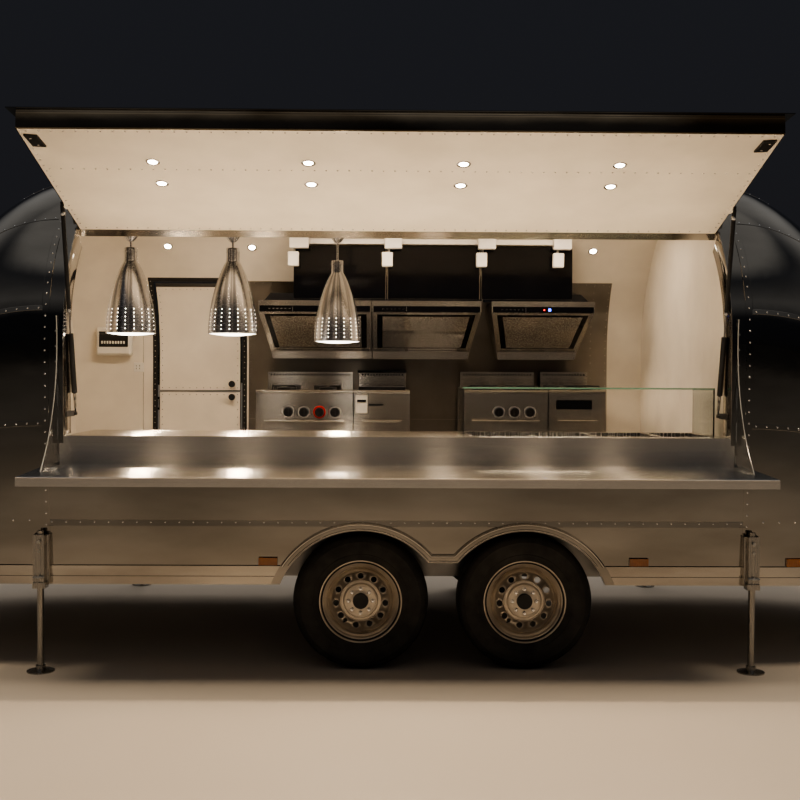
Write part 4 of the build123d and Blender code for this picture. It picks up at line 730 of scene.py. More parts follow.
TYRE_OUTLINE = (
    (0.2035, 0.074), (0.213, 0.083), (0.2225, 0.0875), (0.227, 0.0905), (0.2285, 0.0925), (0.236, 0.094),
    (0.252, 0.1), (0.2535, 0.1025), (0.257, 0.1025), (0.2585, 0.1015), (0.272, 0.1055), (0.289, 0.1078), (0.306, 0.1078),
    (0.318, 0.1058), (0.3215, 0.1062), (0.324, 0.1045), (0.336, 0.0995), (0.346, 0.092), (0.3525, 0.084), (0.357, 0.0745),
    (0.3595, 0.0665), (0.361, 0.0635), (0.3545, 0.0618), (0.3545, 0.0572), (0.3618, 0.0556), (0.363, 0.0395),
    (0.3562, 0.0378), (0.3562, 0.0332), (0.3634, 0.0316), (0.364, 0.0085), (0.3572, 0.0068), (0.3572, 0.0),
)
RIM_OUTLINE = (
    (0.1975, 0.062), (0.1985, 0.0705), (0.2015, 0.0735), (0.2075, 0.0765), (0.2115, 0.0795), (0.2135, 0.0835),
    (0.2165, 0.0868), (0.2205, 0.0878), (0.2232, 0.0868), (0.2236, 0.0838), (0.2212, 0.082),
)
RIM_INSIDE = (
    (0.1975, 0.062), (0.1965, 0.053), (0.1925, 0.0475), (0.1865, 0.0445), (0.1835, 0.0405), (0.181, 0.031), (0.1765, 0.0245),
    (0.1735, 0.0265), (0.1712, 0.034), (0.1672, 0.0432), (0.1612, 0.0498), (0.1535, 0.0535),
)
HUB_OUTLINE = (
    (0.1135, 0.0535), (0.1085, 0.0522), (0.105, 0.0478), (0.1025, 0.0405), (0.0995, 0.0385), (0.0965, 0.042), (0.0935, 0.0555),
    (0.0905, 0.0632), (0.0868, 0.0662), (0.081, 0.0665), (0.0785, 0.0645), (0.05, 0.064), (0.0455, 0.0655), (0.0425, 0.0655),
    (0.0412, 0.064), (0.0412, 0.05),
)
BACK_OUTLINE = (
    (0.1975, -0.062), (0.2015, -0.0735), (0.2135, -0.0835), (0.2205, -0.0878), (0.2236, -0.0838), (0.2145, -0.078),
    (0.2045, -0.07), (0.2035, -0.048), (0.18, -0.032), (0.18, 0.024), (0.2035, 0.045), (0.2045, 0.07), (0.2145, 0.078),
    (0.2212, 0.082),
)
DISC_BACK = ((0.1535, 0.0475), (0.17, 0.02), (0.176, -0.02), (0.1975, -0.062))
HUB_BACK = ((0.1135, 0.0475), (0.09, 0.05), (0.0412, 0.05))
NUT_OUTLINE = (
    (0.0125, 0.064), (0.0118, 0.0655), (0.0102, 0.0665), (0.0098, 0.0775), (0.0075, 0.0795), (0.0052, 0.0795),
    (0.005, 0.0865), (0.0038, 0.088), (0.0, 0.088),
)
HUB_CAP_OUTLINE = (
    (0.0405, 0.045), (0.0405, 0.0585), (0.038, 0.0605), (0.0355, 0.0598), (0.033, 0.056), (0.012, 0.0555), (0.0, 0.0555),
)
VALVE_ANGLE = 218.0
HOLE_PITCH = 31.8
HOLE_GAP = 10.2
HOLE_CIRCLE = 0.133
# Angle and radius of the eleven hand holes, with a gap for the valve, and of the valve's hole
DISC_HOLES = [(i * HOLE_PITCH + HOLE_GAP * (i > 6), 0.0158) for i in range(11)] + [(VALVE_ANGLE, 0.0105)]


def circle(u, v, radius, count):
    turns = [2 * math.pi * i / count for i in range(count)]
    return [(u + radius * math.sin(turn), v + radius * math.cos(turn)) for turn in turns]


def on_face(spot, height):
    """Points of a wheel over (u, v) on its face."""
    return lambda u, v: spot(math.hypot(u, v), math.atan2(u, v), height)


def nut_spot(spot, u, v):
    """Points of a turned form round an axis at (u, v) on a wheel's face."""
    return lambda radius, turn, height: on_face(spot, height)(
        u + radius * math.sin(turn), v + radius * math.cos(turn))


def wheel_disc(shape, spot):
    """The flat ring of the disc, with a raised lip round each of its holes."""
    holes = [(HOLE_CIRCLE * math.sin(turn), HOLE_CIRCLE * math.cos(turn), radius)
             for turn, radius in ((math.radians(angle), radius) for angle, radius in DISC_HOLES)]
    shape.sheet([circle(0, 0, 0.1535, 132), circle(0, 0, 0.1135, 132), *(circle(*hole, 20) for hole in holes)],
                [], on_face(spot, 0.0535), on_face(spot, 0.0475))
    for u, v, radius in holes:
        shape.loft([[on_face(spot, height)(*p) for p in circle(u, v, radius * grow, 20)]
                    for grow, height in ((1.0, 0.0535), (1.14, 0.0548), (1.24, 0.0535))], False)


for wall, side in (("serving", -1), ("door", 1)):
    for end, x in zip(("front", "rear"), WHEEL_XS):
        spot = on_wheel(x, side)
        body = f"wheel_{wall}_{end}"
        tyre, rim, nuts, cap, valve = (Shape() for _ in range(5))
        tyre.lathe([*TYRE_OUTLINE, *((r, -h) for r, h in TYRE_OUTLINE[-2::-1])], spot, 144)
        tyre.lathe([(0.2035, -0.074), (0.2035, 0.074)], spot, 144)
        for outline in (RIM_OUTLINE, RIM_INSIDE, HUB_OUTLINE, BACK_OUTLINE, DISC_BACK, HUB_BACK):
            rim.lathe(outline, spot, 132)
        wheel_disc(rim, spot)
        for u, v in circle(0, 0, 0.065, 8):
            nuts.lathe(NUT_OUTLINE, nut_spot(spot, u, v), 6)
        cap.lathe(HUB_CAP_OUTLINE, spot)
        base, tip = (Vector(spot(r, math.radians(VALVE_ANGLE), h)) for r, h in ((0.15, 0.046), (0.138, 0.072)))
        valve.tube([base, base.lerp(tip, 0.6)], 0.0048)
        valve.tube([base.lerp(tip, 0.55), tip], 0.0036)
        piece(f"{body}_tyre", tyre, TYRE, body, 30, (f"tyre_{wall}_{end}",))
        piece(f"{body}_rim", rim, WHEEL, body, 28, (f"rim_{wall}_{end}",))
        piece(f"{body}_nuts", nuts, CHROME, body, 25)
        piece(f"{body}_hub_cap", cap, CHASSIS, body)
        piece(f"{body}_valve", valve, BLACK, body)


# Hatch: liner rivets, spot lamps, lip and latch plates. Distances run from the lip towards the hinge.

LINER_LIP = Vector((0, -2.07152, 2.67490))
LINER_ROOT = Vector((0, -1.00797, 2.35919))
LINER_ALONG = (LINER_ROOT - LINER_LIP).normalized()
LINER_DOWN = Vector((0, LINER_ALONG.z, -LINER_ALONG.y))
LINER_DEPTH = (LINER_ROOT - LINER_LIP).length


def on_liner(x, along, drop=0.0):
    """A point under the open hatch's flat panel."""
    point = LINER_LIP + LINER_ALONG * along + LINER_DOWN * drop
    return Vector((x, point.y, point.z))


def turned(centre, across, up, out):
    """Points of a turned form round a centre, with its height along out."""
    centre, across, up, out = (Vector(v) for v in (centre, across, up, out))
    return lambda radius, angle, height: (
        centre + across * radius * math.cos(angle) + up * radius * math.sin(angle) + out * height)


def standing(x, y, z):
    return turned((x, y, z), (1, 0, 0), (0, 1, 0), (0, 0, 1))


def facing(x, y, z):
    """A turned form whose height runs towards the serving side."""
    return turned((x, y, z), (1, 0, 0), (0, 0, 1), (0, -1, 0))


SPOT_RING = ((0.034, -0.001), (0.034, 0.002), (0.031, 0.0036), (0.0245, 0.0036), (0.0225, 0.0016))
SPOT_LENS = ((0.0228, 0.0014), (0.018, 0.0022), (0.0, 0.0026))


def downlight(rings, lenses, point, up, out):
    """A small round lamp in a ceiling."""
    spot = turned(point, (1, 0, 0), up, out)
    rings.lathe(SPOT_RING, spot, 24)
    lenses.lathe(SPOT_LENS, spot, 24)


liner, rings, lenses, lip, brackets, bolts = (Shape() for _ in range(6))
spots = [on_liner(x, along) for x in grid(0.04 - HATCH_HALF, HATCH_HALF - 0.04, 61)
         for along in (0.022, 0.39, LINER_DEPTH - 0.03)]
spots += [on_liner(x, along) for x in (0.022 - HATCH_HALF, HATCH_HALF - 0.022)
          for along in grid(0.022, LINER_DEPTH - 0.03, 19)[1:-1]]
liner.heads([(spot, LINER_DOWN) for spot in spots], 0.005, 0.003)
for x in (-1.183, -0.442, 0.300, 1.048):
    for along in (0.312, 0.54):
        downlight(rings, lenses, on_liner(x, along), LINER_ALONG, LINER_DOWN)

LIP_FOOT = Vector((0, -2.0712, 2.6745))
LIP_PROFILE = ((0.001, 0.0005), (0.001, 0.0024), (0.004, 0.0036), (0.02, 0.0045), (0.045, 0.005), (0.068, 0.0048),
               (0.08, 0.004), (0.083, 0.0024), (0.087, 0.0024), (0.09, 0.0038), (0.0945, 0.0034), (0.0945, 0.0005))
lip_way = (Vector((0, -2.0625, 2.7695)) - LIP_FOOT).normalized()
lip_out = Vector((0, -lip_way.z, lip_way.y))
lip.loft([[LIP_FOOT + Vector((x, 0, 0)) + lip_way * rise + lip_out * out for rise, out in LIP_PROFILE]
          for x in (-HATCH_HALF, HATCH_HALF)])
for end in (-1, 1):
    corners = ((1.716, 0.05), (1.655, 0.056), (1.643, 0.16), (1.704, 0.154))
    brackets.slab([on_liner(end * x, along) for x, along in corners], LINER_DOWN, -0.001, 0.011, 0.004)
    bolts.heads([(on_liner(end * x, along, 0.011), LINER_DOWN) for x, along in ((1.69, 0.075), (1.672, 0.137))],
                0.006, 0.003)
piece("hatch_liner_rivets", liner, CHROME, "hatch", 60)
piece("hatch_spot_rings", rings, CHROME, "hatch")
piece("hatch_spot_lamps", lenses, SPOT, "hatch")
piece("hatch_lip", lip, LIP, "hatch", 40)
piece("hatch_latch_plates", brackets, BLACK, "hatch")
piece("hatch_latch_bolts", bolts, TRIM, "hatch", 60)

# Struts: a lock sleeve over the rod, the end fitting, and the collars of the tube
STRUT_X = 1.752
STRUT_TOP = Vector((0, -1.28883, 2.46051))
STRUT_FOOT = Vector((0, -1.04, 1.36))
strut_way = (STRUT_FOOT - STRUT_TOP).normalized()
strut_side = Vector((0, strut_way.z, -strut_way.y))
SLEEVE = ((0.0119, 0.69), (0.0145, 0.69), (0.0152, 0.693), (0.0152, 1.009), (0.0145, 1.013), (0.006, 1.015),
          (0.006, 1.01), (0.0119, 1.0085))
FITTING = ((0.0056, 1.0155), (0.008, 1.016), (0.0088, 1.019), (0.0088, 1.05), (0.0075, 1.056), (0.007, 1.09),
           (0.0056, 1.1))
COLLARS = (((0.0108, 0.045), (0.0116, 0.047), (0.0116, 0.062), (0.0108, 0.064)),
           ((0.0108, 0.552), (0.0115, 0.554), (0.0115, 0.568), (0.009, 0.5712), (0.0056, 0.5712)))
PLATE = ((-1.345, 2.5), (-1.235, 2.468), (-1.262, 2.432), (-1.31, 2.432))
for end, name in ((-1, "front"), (1, "rear")):
    spot = turned(STRUT_TOP + Vector((end * STRUT_X, 0, 0)), (1, 0, 0), strut_side, strut_way)
    sleeve, fitting, collars, plate = (Shape() for _ in range(4))
    sleeve.lathe(SLEEVE, spot, 28, True)
    fitting.lathe(FITTING, spot, 20)
    for outline in COLLARS:
        collars.lathe(outline, spot, 24)
    plate.slab([(end * (HATCH_HALF - 0.002), y, z) for y, z in PLATE], (end, 0, 0), 0.0, 0.004, 0.001)
    piece(f"strut_sleeve_{name}", sleeve, BLACK, f"strut_rod_{name}")
    piece(f"strut_fitting_{name}", fitting, TRIM, f"strut_rod_{name}")
    piece(f"strut_collars_{name}", collars, CHROME, f"strut_tube_{name}")
    piece(f"strut_plate_{name}", plate, WHITE, "hatch")

# Heat lamps: spun shades with rows of holes, a lit inside, a neck, a thin rod and a ceiling cup

LAMP_SPOTS = ((-1.51, -0.79, 1.805, 0.517), (-0.935, -0.79, 1.805, 0.517), (-0.36, -0.43, 1.776, 0.589))
HOLE_ROWS = (0.022, 0.044, 0.066, 0.088, 0.11, 0.132)
HOLE_COLUMNS = 18
HOLE_RADIUS = 0.003
SHEET = 0.0016
SHADE_STEPS = 2 * HOLE_COLUMNS


def bullet(height):
    """The shade's radius at a height above its rim."""
    share = min(1.0, max(0.0, height / 0.4))
    return 0.041 + 0.097 * (1 - share ** 1.95) ** 0.92


def shade(shape, spot):
    """The pierced lower part of a shade, then the solid upper part."""
    edges = [0.011, *((a + b) / 2 for a, b in zip(HOLE_ROWS, HOLE_ROWS[1:])), 0.143]
    half = math.pi / HOLE_COLUMNS
    for low, level, high in zip(edges, HOLE_ROWS, edges[1:]):
        for column in range(HOLE_COLUMNS):
            centre = half * (2 * column + 1)
            cell, hole = [], []
            for turn in grid(0, 2 * math.pi, 8)[:-1]:
                u, v = math.cos(turn), math.sin(turn)
                scale = 1 / max(abs(u), abs(v))
                rise = high - level if v > 0 else level - low
                cell.append((centre + half * u * scale, level + rise * v * scale))
                hole.append((centre + HOLE_RADIUS / bullet(level) * u, level + HOLE_RADIUS * v))
            shape.loft([[spot(bullet(h) - inset, a, h) for a, h in loop]
                        for loop, inset in ((cell, 0), (hole, 0), (hole, SHEET), (cell, SHEET))], False)
    rim = [(bullet(h), h) for h in (0.011, 0.007, 0.004)]
    rim += [(0.1398, 0.002), (0.1404, 0.0), (0.1394, -0.0015), (0.1376, -0.001), (0.1372, 0.003)]
    rim += [(bullet(h) - SHEET, h) for h in (0.007, 0.011)]
    upper = [(bullet(h), h) for h in grid(0.143, 0.396, 22)]
    upper += [(0.0395, 0.402), (0.0375, 0.408), (0.037, 0.412), (0.0362, 0.44), (0.0362, 0.455), (0.0378, 0.4565)]
    upper += [(0.0378, 0.462), (0.0362, 0.4635), (0.0362, 0.478), (0.0345, 0.482), (0.0095, 0.483), (0.0062, 0.489)]
    inside = [(bullet(h) - SHEET, h) for h in grid(0.143, 0.39, 16)] + [(0.034, 0.395), (0.0, 0.395)]
    for outline in (rim, upper, inside):
        shape.lathe(outline, spot, SHADE_STEPS)


CUP = ((0.014, 0.0), (0.019, 0.003), (0.032, 0.018), (0.044, 0.04), (0.051, 0.066), (0.0535, 0.09), (0.052, 0.093),
       (0.013, 0.095))
GLOW = ((0.0, -0.013), (0.04, -0.0118), (0.08, -0.0082), (0.11, -0.004), (0.13, 0.0), (0.134, 0.004), (0.132, 0.06),
        (0.118, 0.145), (0.09, 0.17), (0.0, 0.18))
glows = Shape()
for number, (x, y, z, cup_rise) in enumerate(LAMP_SPOTS):
    spot = standing(x, y, z)
    shades, cups = Shape(), Shape()
    shade(shades, spot)
    top = BODY_SECTION.crown_z + math.sqrt((BODY_SECTION.crown - WALL - 0.004) ** 2 - y ** 2) - z - 0.004
    cup = [(0.0062, 0.489), (0.0062, cup_rise + 0.004), *((radius, cup_rise + rise) for radius, rise in CUP)]
    cups.lathe(cup + [(0.013, top - 0.012), (0.03, top - 0.01), (0.032, top + 0.004), (0.0, top + 0.004)], spot)
    glows.lathe(GLOW, spot)
    made = piece(f"heat_lamp_shade_{number}", shades, SPUN, angle=40)
    if number == 0:
        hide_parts("heat_lamps")
    piece(f"heat_lamp_cup_{number}", cups, SPUN, angle=30)
piece("heat_lamp_glow", glows, BULB)

# Entry door: cream inner panels, rubber frame and rivets

for body, z0, z1 in (("door_lower", 0.622, 1.447), ("door_upper", 1.453, 2.235)):
    run0, run1 = BODY_SECTION.run_at(z0 + 0.004), BODY_SECTION.run_at(z1 - 0.004)
    x0, x1 = DOOR_X - DOOR_HALF + 0.004, DOOR_X + DOOR_HALF - 0.004
    for name, near, far, look, slot in (
        ("inner", -WALL - 0.004, -WALL - 0.0008, CREAM, "cream_panel"),
        ("outer", 0.0022, 0.0004, BODY, "polished_aluminium"),
    ):
        leaf = Shape()
        leaf.wall_sheet((x0, x1, run0, run1), near, far)
        piece(f"{body}_{name}_panel", leaf, look, body)
    leaf_rivets = Shape()
    x0, x1, run0, run1 = x0 + 0.018, x1 - 0.018, run0 + 0.018, run1 - 0.018
    spots = [(x, run) for x in grid(x0, x1, 11) for run in (run0, run1)]
    spots += [(x, run) for run in grid(run0, run1, 14)[1:-1] for x in (x0, x1)]
    leaf_rivets.heads([inward(x, run, 0.004) for x, run in spots], 0.0036, 0.0016)
    leaf_rivets.heads([on_body(x, run, 0.0022) for x, run in spots], 0.004, 0.0018)
    piece(f"{body}_rivets", leaf_rivets, TRIM, body, 60)

seal, seal_rivets = Shape(), Shape()
for x in (door0 - 0.012, door1 + 0.012):
    runs = grid(door_run0 - 0.02, door_run1 + 0.02, 50)
    seal.ribbon([inward(x, run, 0.004) for run in runs], (1, 0, 0), 0.017, 0.009)
    seal_rivets.heads([inward(x, run, 0.0132) for run in grid(door_run0, door_run1, 42)], 0.0042, 0.002)
for run in (door_run0 - 0.012, door_run1 + 0.012):
    line = [inward(x, run, 0.004) for x in (door0 - 0.028, DOOR_X, door1 + 0.028)]
    seal.ribbon(line, (0, -line[0][1][2], line[0][1][1]), 0.017, 0.009)
piece("door_seal", seal, RUBBER)
piece("door_seal_rivets", seal_rivets, CHROME, angle=60)

# Kitchen wall: back panel, range hoods, flues, sockets and breaker box. HOODS: top ends, then foot ends.

HOODS = ((-0.95, -0.17, -0.877, -0.17), (-0.164, 0.59, -0.164, 0.517), (0.662, 1.377, 0.735, 1.282))
HOOD_Y = 0.6
BROW_Z = 2.015
HOOD_FOOT_Z = 1.694
HOOD_TOP_Z = 2.09
FLUES = ((-0.717, -0.074), (-0.056, 0.584), (0.603, 1.239))
FLUE_Y = 0.73
SLOPE = (0, -1, -1)

SPLASH = (-1.084, 1.575, BODY_SECTION.run_inside(1.25, -WALL), BODY_SECTION.run_inside(2.255, -WALL))
SPLASH_FACES = (-WALL - 0.0075, -WALL - 0.0048)
splash, skirt, splash_rivets = Shape(), Shape(), Shape()
left, right, foot, top = SPLASH
splash.wall_sheet(SPLASH, *SPLASH_FACES)
skirt_area = (left, right, BODY_SECTION.run_inside(0.95, -WALL), foot - 0.001)
skirt.wall_sheet(skirt_area, *SPLASH_FACES)
spots = [(x, run) for x in (left + 0.015, -0.9, 1.45, right - 0.015)
         for run in grid(foot + 0.03, top - 0.03, 18)]
spots += [(x, top - 0.015) for x in grid(left + 0.06, right - 0.06, 40)]
splash_rivets.heads([inward(x, run, 0.0075) for x, run in spots], 0.004, 0.002)
made = piece("splash_sheet", splash, SPLASH_STEEL)
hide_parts("splash_panel")
piece("splash_skirt", skirt, SPLASH_STEEL)
piece("splash_rivets", splash_rivets, CHROME, angle=60)


def hood_ends(row, z, inset):
    """A hood's two edge points on its sloping front at a height, moved in from its ends."""
    share = (z - HOOD_FOOT_Z) / (BROW_Z - HOOD_FOOT_Z)
    y = HOOD_Y + BROW_Z - z
    left, right = (foot + (top - foot) * share for top, foot in (row[::2], row[1::2]))
    return (left + inset, y, z), (right - inset, y, z)


MARKS = (HOOD_Y - 0.005, HOOD_Y - 0.0035)
SLOT = ((0, -0.003), (0.008, -0.003), (0.008, 0.003), (0, 0.003))
strips, borders, panels, trims, slots, ticks = (Shape() for _ in range(6))
for row in HOODS:
    strips.box(row[0] + 0.008, row[1] - 0.008, HOOD_Y - 0.004, HOOD_Y + 0.001, 2.012, 2.053, 0.0015)
    for shape, inset, z0, z1, out in ((borders, 0.034, 1.77, 1.998, 0.002), (panels, 0.072, 1.778, 1.984, 0.007),
                                      (trims, 0.012, 1.999, 2.011, 0.005), (trims, 0.012, 1.747, 1.766, 0.003)):
        (a, b), (c, d) = hood_ends(row, z0, inset), hood_ends(row, z1, inset)
        shape.slab([a, b, d, c], SLOPE, -0.0005, out)
    (left, y, z), (right, *_) = hood_ends(row, 1.7565, 0.03)
    for x in grid(left, right, round((right - left) / 0.0155)):
        slots.slab([(x + dx, y - dz, z + dz) for dx, dz in SLOT], SLOPE, 0.002, 0.0036, 0.0004)
    for i in range(6):
        x = row[0] + 0.07 + i * 0.028
        ticks.box(x, x + 0.012, *MARKS, 2.03, 2.034, 0.0005)
    ticks.box(row[0] + 0.235, row[0] + 0.238, *MARKS, 2.016, 2.049, 0.0005)
piece("hood_control_strips", strips, GLASS_BLACK)
piece("hood_borders", borders, GLASS_BLACK)
piece("hood_front_panels", panels, UPRIGHT)
piece("hood_trims", trims, STEEL)
piece("hood_slots", slots, BLACK)
piece("hood_ticks", ticks, CHROME)
for name, x, half, look in (
        ("hood_blue_light", 1.0625, 0.009, BLUE), ("hood_red_light", 1.0258, 0.005, REDLIGHT)):
    light = Shape()
    light.box(x - half, x + half, HOOD_Y - 0.006, HOOD_Y - 0.0035, 2.031 - half, 2.031 + half, 0.0015)
    piece(name, light, look)

posts, shoulders = Shape(), Shape()
for x0, x1 in FLUES:
    posts.box(x0 + 0.002, x1 - 0.002, FLUE_Y - 0.009, FLUE_Y + 0.002, HOOD_TOP_Z - 0.001, HOOD_TOP_Z + 0.022)
for x in (-0.065, 0.5935):
    posts.box(x - 0.0075, x + 0.0075, FLUE_Y - 0.006, FLUE_Y + 0.006, HOOD_TOP_Z, 2.478, 0.003)
for outline in (((-0.93, 2.089), (-0.718, 2.089), (-0.718, 2.15), (-0.88, 2.15)),
                ((1.24, 2.089), (1.368, 2.089), (1.3, 2.15), (1.24, 2.15))):
    shoulders.loft([[(x, y, z) for x, z in outline] for y in (FLUE_Y + 0.005, 1.0)])
piece("flue_strips", posts, TRIM)
piece("flue_shoulders", shoulders, BLACK)

boxes, necks = Shape(), Shape()
for x0, x1, drop_x in (
        (-0.738, -0.606, -0.75), (-0.081, 0.04, -0.099), (0.5685, 0.691, 0.555), (1.091, 1.217, 1.089)):
    boxes.box(x0, x1, 0.61, 0.675, 2.452, 2.54, 0.005)
    boxes.box(drop_x, drop_x + 0.075, 0.62, 0.675, 2.328, 2.428, 0.005)
    necks.tube([(x0 + 0.03, 0.65, 2.425), (x0 + 0.03, 0.65, 2.456)], 0.009)
boxes.box(-0.607, 1.092, 0.668, 0.684, 2.487, 2.524, 0.003)
piece("ceiling_sockets", boxes, WHITE)
piece("ceiling_socket_necks", necks, DULL)

breaker, window, switches = Shape(), Shape(), Shape()
x0, x1, z0, z1 = -2.19, -1.935, 1.71, 1.915
breaker.box(x0, x1, 1.085, 1.166, z0, z1, 0.012)
breaker.box(x0 + 0.012, x1 - 0.012, 1.078, 1.086, z0 + 0.012, z1 - 0.012, 0.003)
window.box(x0 + 0.024, x1 - 0.02, 1.0745, 1.0785, z0 + 0.062, z1 - 0.03)
for i in range(9):
    x = x0 + 0.04 + i * 0.02
    switches.box(x, x + 0.012, 1.0715, 1.075, z0 + 0.085, z0 + 0.105, 0.001)
outlet_y = on_wall(-1.8, 1.627, 1, -WALL - 0.0045)[0][1]
breaker.box(-1.935, -1.861, outlet_y - 0.008, outlet_y + 0.002, 1.59, 1.66, 0.003)
for x in (-1.917, -1.893):
    for z in (1.61, 1.63):
        window.box(x, x + 0.005, outlet_y - 0.0085, outlet_y - 0.004, z, z + 0.012, 0.0005)
piece("breaker_box", breaker, WHITE)
piece("breaker_window", window, GLASS_BLACK)
piece("breaker_switches", switches, WHITE)

# Ceiling downlights
lights, light_rings = Shape(), Shape()
for x, y in ((-1.607, 0.784), (-1.016, 0.788), (1.397, 0.801)):
    run = CROWN_START
    while on_body(0, run, -WALL)[0][1] > y:
        run += 0.002
    point, normal = inward(x, run, 0.0045)
    downlight(light_rings, lights, point, Vector(normal).cross(Vector((1, 0, 0))), normal)
piece("ceiling_light_rings", light_rings, CHROME)
piece("ceiling_lights", lights, SPOT)

# Cookers: knobs with bezels, switch plate, windows, back vents, pan supports. COOKERS: ends, top, knobs.
COOKERS = ((-0.95, -0.291, 1.472, 4), (-0.284, 0.097, 1.474, 0), (0.458, 1.038, 1.478, 3),
           (1.045, 1.43, 1.480, 0))
BEZEL = ((0.043, 0.0), (0.043, 0.003), (0.04, 0.006), (0.033, 0.006), (0.032, 0.001))
KNOB = ((0.0312, 0.0), (0.0312, 0.022), (0.0295, 0.031), (0.026, 0.0335), (0.0, 0.0335))
BURNER = ((0.052, 0.0), (0.052, 0.012), (0.046, 0.017), (0.03, 0.017), (0.0, 0.014))
RED_KNOB = (0, 1)
FLAT_TOP = 1
knobs, bezels, red_bezel, dark, burners, plates = (Shape() for _ in range(6))
for number, (x0, x1, top, count) in enumerate(COOKERS):
    z = top - 0.15
    for i in range(count):
        x = x1 - 0.106 * (i + 1.15)
        (red_bezel if (number, i) == RED_KNOB else bezels).lathe(BEZEL, facing(x, 0.48, z), 32)
        knobs.lathe(KNOB, facing(x, 0.48, z), 28)
        knobs.box(x - 0.0045, x + 0.0045, 0.438, 0.449, z - 0.026, z + 0.026, 0.0015)
    dark.box(x0 + 0.1, x1 - 0.1, 0.4845, 0.4885, 0.86, top - 0.29)
    for x in grid(x0 + 0.04, x1 - 0.05, round((x1 - x0 - 0.09) / 0.021)):
        dark.box(x, x + 0.011, 1.0625, 1.0655, top + 0.098, top + 0.112, 0.0008)
    if number == FLAT_TOP:
        burners.box(x0 + 0.03, x1 - 0.03, 0.53, 1.02, top - 0.001, top + 0.022, 0.004)
        continue
    for x in (x0 + (x1 - x0) * share for share in (0.28, 0.72)):
        for y in (0.62, 0.88):
            burners.lathe(BURNER, standing(x, y, top), 24)
            for turn in (math.radians(angle) for angle in (45, 135, 225, 315)):
                near, far = (Vector((x + reach * math.cos(turn), y + reach * math.sin(turn), top + 0.026))
                             for reach in (0.03, 0.11))
                burners.tube([near, far], 0.005, 8)
                burners.tube([far, (far.x, far.y, top + 0.001)], 0.005, 8)
plates.box(-0.271, -0.193, 0.476, 0.4805, 1.316, 1.442, 0.002)
dark.box(-0.262, -0.202, 0.4725, 0.4765, 1.392, 1.408, 0.001)
dark.box(-0.184, -0.084, 0.478, 0.4805, 1.367, 1.379, 0.001)
dark.box(-0.275, 0.085, 1.058, 1.0655, 1.592, 1.61, 0.002)
dark.box(1.094, 1.34, 0.4765, 0.4805, 1.349, 1.412, 0.002)
piece("cooker_knobs", knobs, BLACK)
piece("cooker_bezels", bezels, CHROME)
piece("cooker_red_bezel", red_bezel, RED)
piece("cooker_windows", dark, GLASS_BLACK)
piece("cooker_burners", burners, BLACK)
piece("cooker_switch_plate", plates, WHITE)

# Edges of the glass over the wells, the shelf's screws, and the side guards' edges and screws
glass_edge = Shape()
glass_edge.box(0.352, 1.731, -1.0516, -1.0496, 1.505, 1.513, 0.0006)
piece("sneeze_glass_edges", glass_edge, GLASS_EDGE)

wall_y = on_wall(0, SHELF_Z, -1)[0][1]
top_y = on_wall(0, 1.88, -1)[0][1] - 0.02
GUARD_ARC = ((wall_y - 0.3, SHELF_Z - 0.3 * 0.02 / 0.52), (wall_y - 0.07, SHELF_Z + 0.33), (top_y, 1.88))
guard_edges, screws = Shape(), Shape()


def on_arc(share):
    """A point on the circle arc through the guard's three edge points."""
    (ay, az), (by, bz), (cy, cz) = GUARD_ARC
    d = 2 * (ay * (bz - cz) + by * (cz - az) + cy * (az - bz))
    a2, b2, c2 = ay * ay + az * az, by * by + bz * bz, cy * cy + cz * cz
    oy = (a2 * (bz - cz) + b2 * (cz - az) + c2 * (az - bz)) / d
    oz = (a2 * (cy - by) + b2 * (ay - cy) + c2 * (by - ay)) / d
    start, end = math.atan2(az - oz, ay - oy), math.atan2(cz - oz, cy - oy)
    turn = (end - start + math.pi) % (2 * math.pi) - math.pi
    radius = math.hypot(ay - oy, az - oz)
    return oy + radius * math.cos(start + turn * share), oz + radius * math.sin(start + turn * share)


for end in (-1, 1):
    guard_edges.tube([(end * 1.801, *on_arc(share)) for share in grid(0.0, 1.0, 40)], 0.0032, 8)
    low_row = [(wall_y - 0.03 - drop, SHELF_Z - (0.03 + drop) * 0.0385 + 0.02) for drop in grid(0.0, 0.24, 5)]
    high_row = [(on_wall(0, z, -1, 0.014)[0][1], z) for z in grid(SHELF_Z + 0.06, 1.8, 8)]
    screws.heads([((end * 1.805, y, z), (end, 0, 0)) for y, z in low_row], 0.007, 0.003)
    screws.heads([((end * 1.805, y, z), (end, 0, 0)) for y, z in high_row], 0.006, 0.003)
screws.heads([((x, wall_y - 0.022, SHELF_Z - 0.0006), (0, 0, 1)) for x in grid(-1.6, 1.6, 8)], 0.006, 0.0028)
piece("guard_edges", guard_edges, ACRYLIC_EDGE)
piece("guard_screws", screws, CHROME, angle=60)

# A thin chrome bead along the shelf's front edge: a painted highlight
edge = Shape()
low, high = (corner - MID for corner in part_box("serving_shelf"))
edge.tube([(x, low.y + 0.0015, SHELF_Z - 0.0215) for x in (low.x + 0.003, high.x - 0.003)], 0.003)
piece("shelf_edge_highlight", edge, CHROME)

# Steady legs: pins in the sleeves
pins = Shape()
for wall, side in (("serving", -1), ("door", 1)):
    for end in ("front", "rear"):
        x, y, _ = sum(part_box(f"leg_{wall}_{end}"), Vector()) / 2 - MID
        face = y + side * 0.026
        for z, reach, radius in ((0.69, 0.012, 0.009), (0.64, 0.008, 0.007), (0.505, 0.016, 0.008)):
            pins.tube([(x, face, z), (x, face + side * reach, z)], radius, 12)
        pins.tube([(x - 0.03, face + side * 0.014, 0.505), (x + 0.03, face + side * 0.014, 0.505)], 0.0045)
piece("steady_pins", pins, ZINC)

# Studio: pale floor, soft light, and the kitchen's own lamps

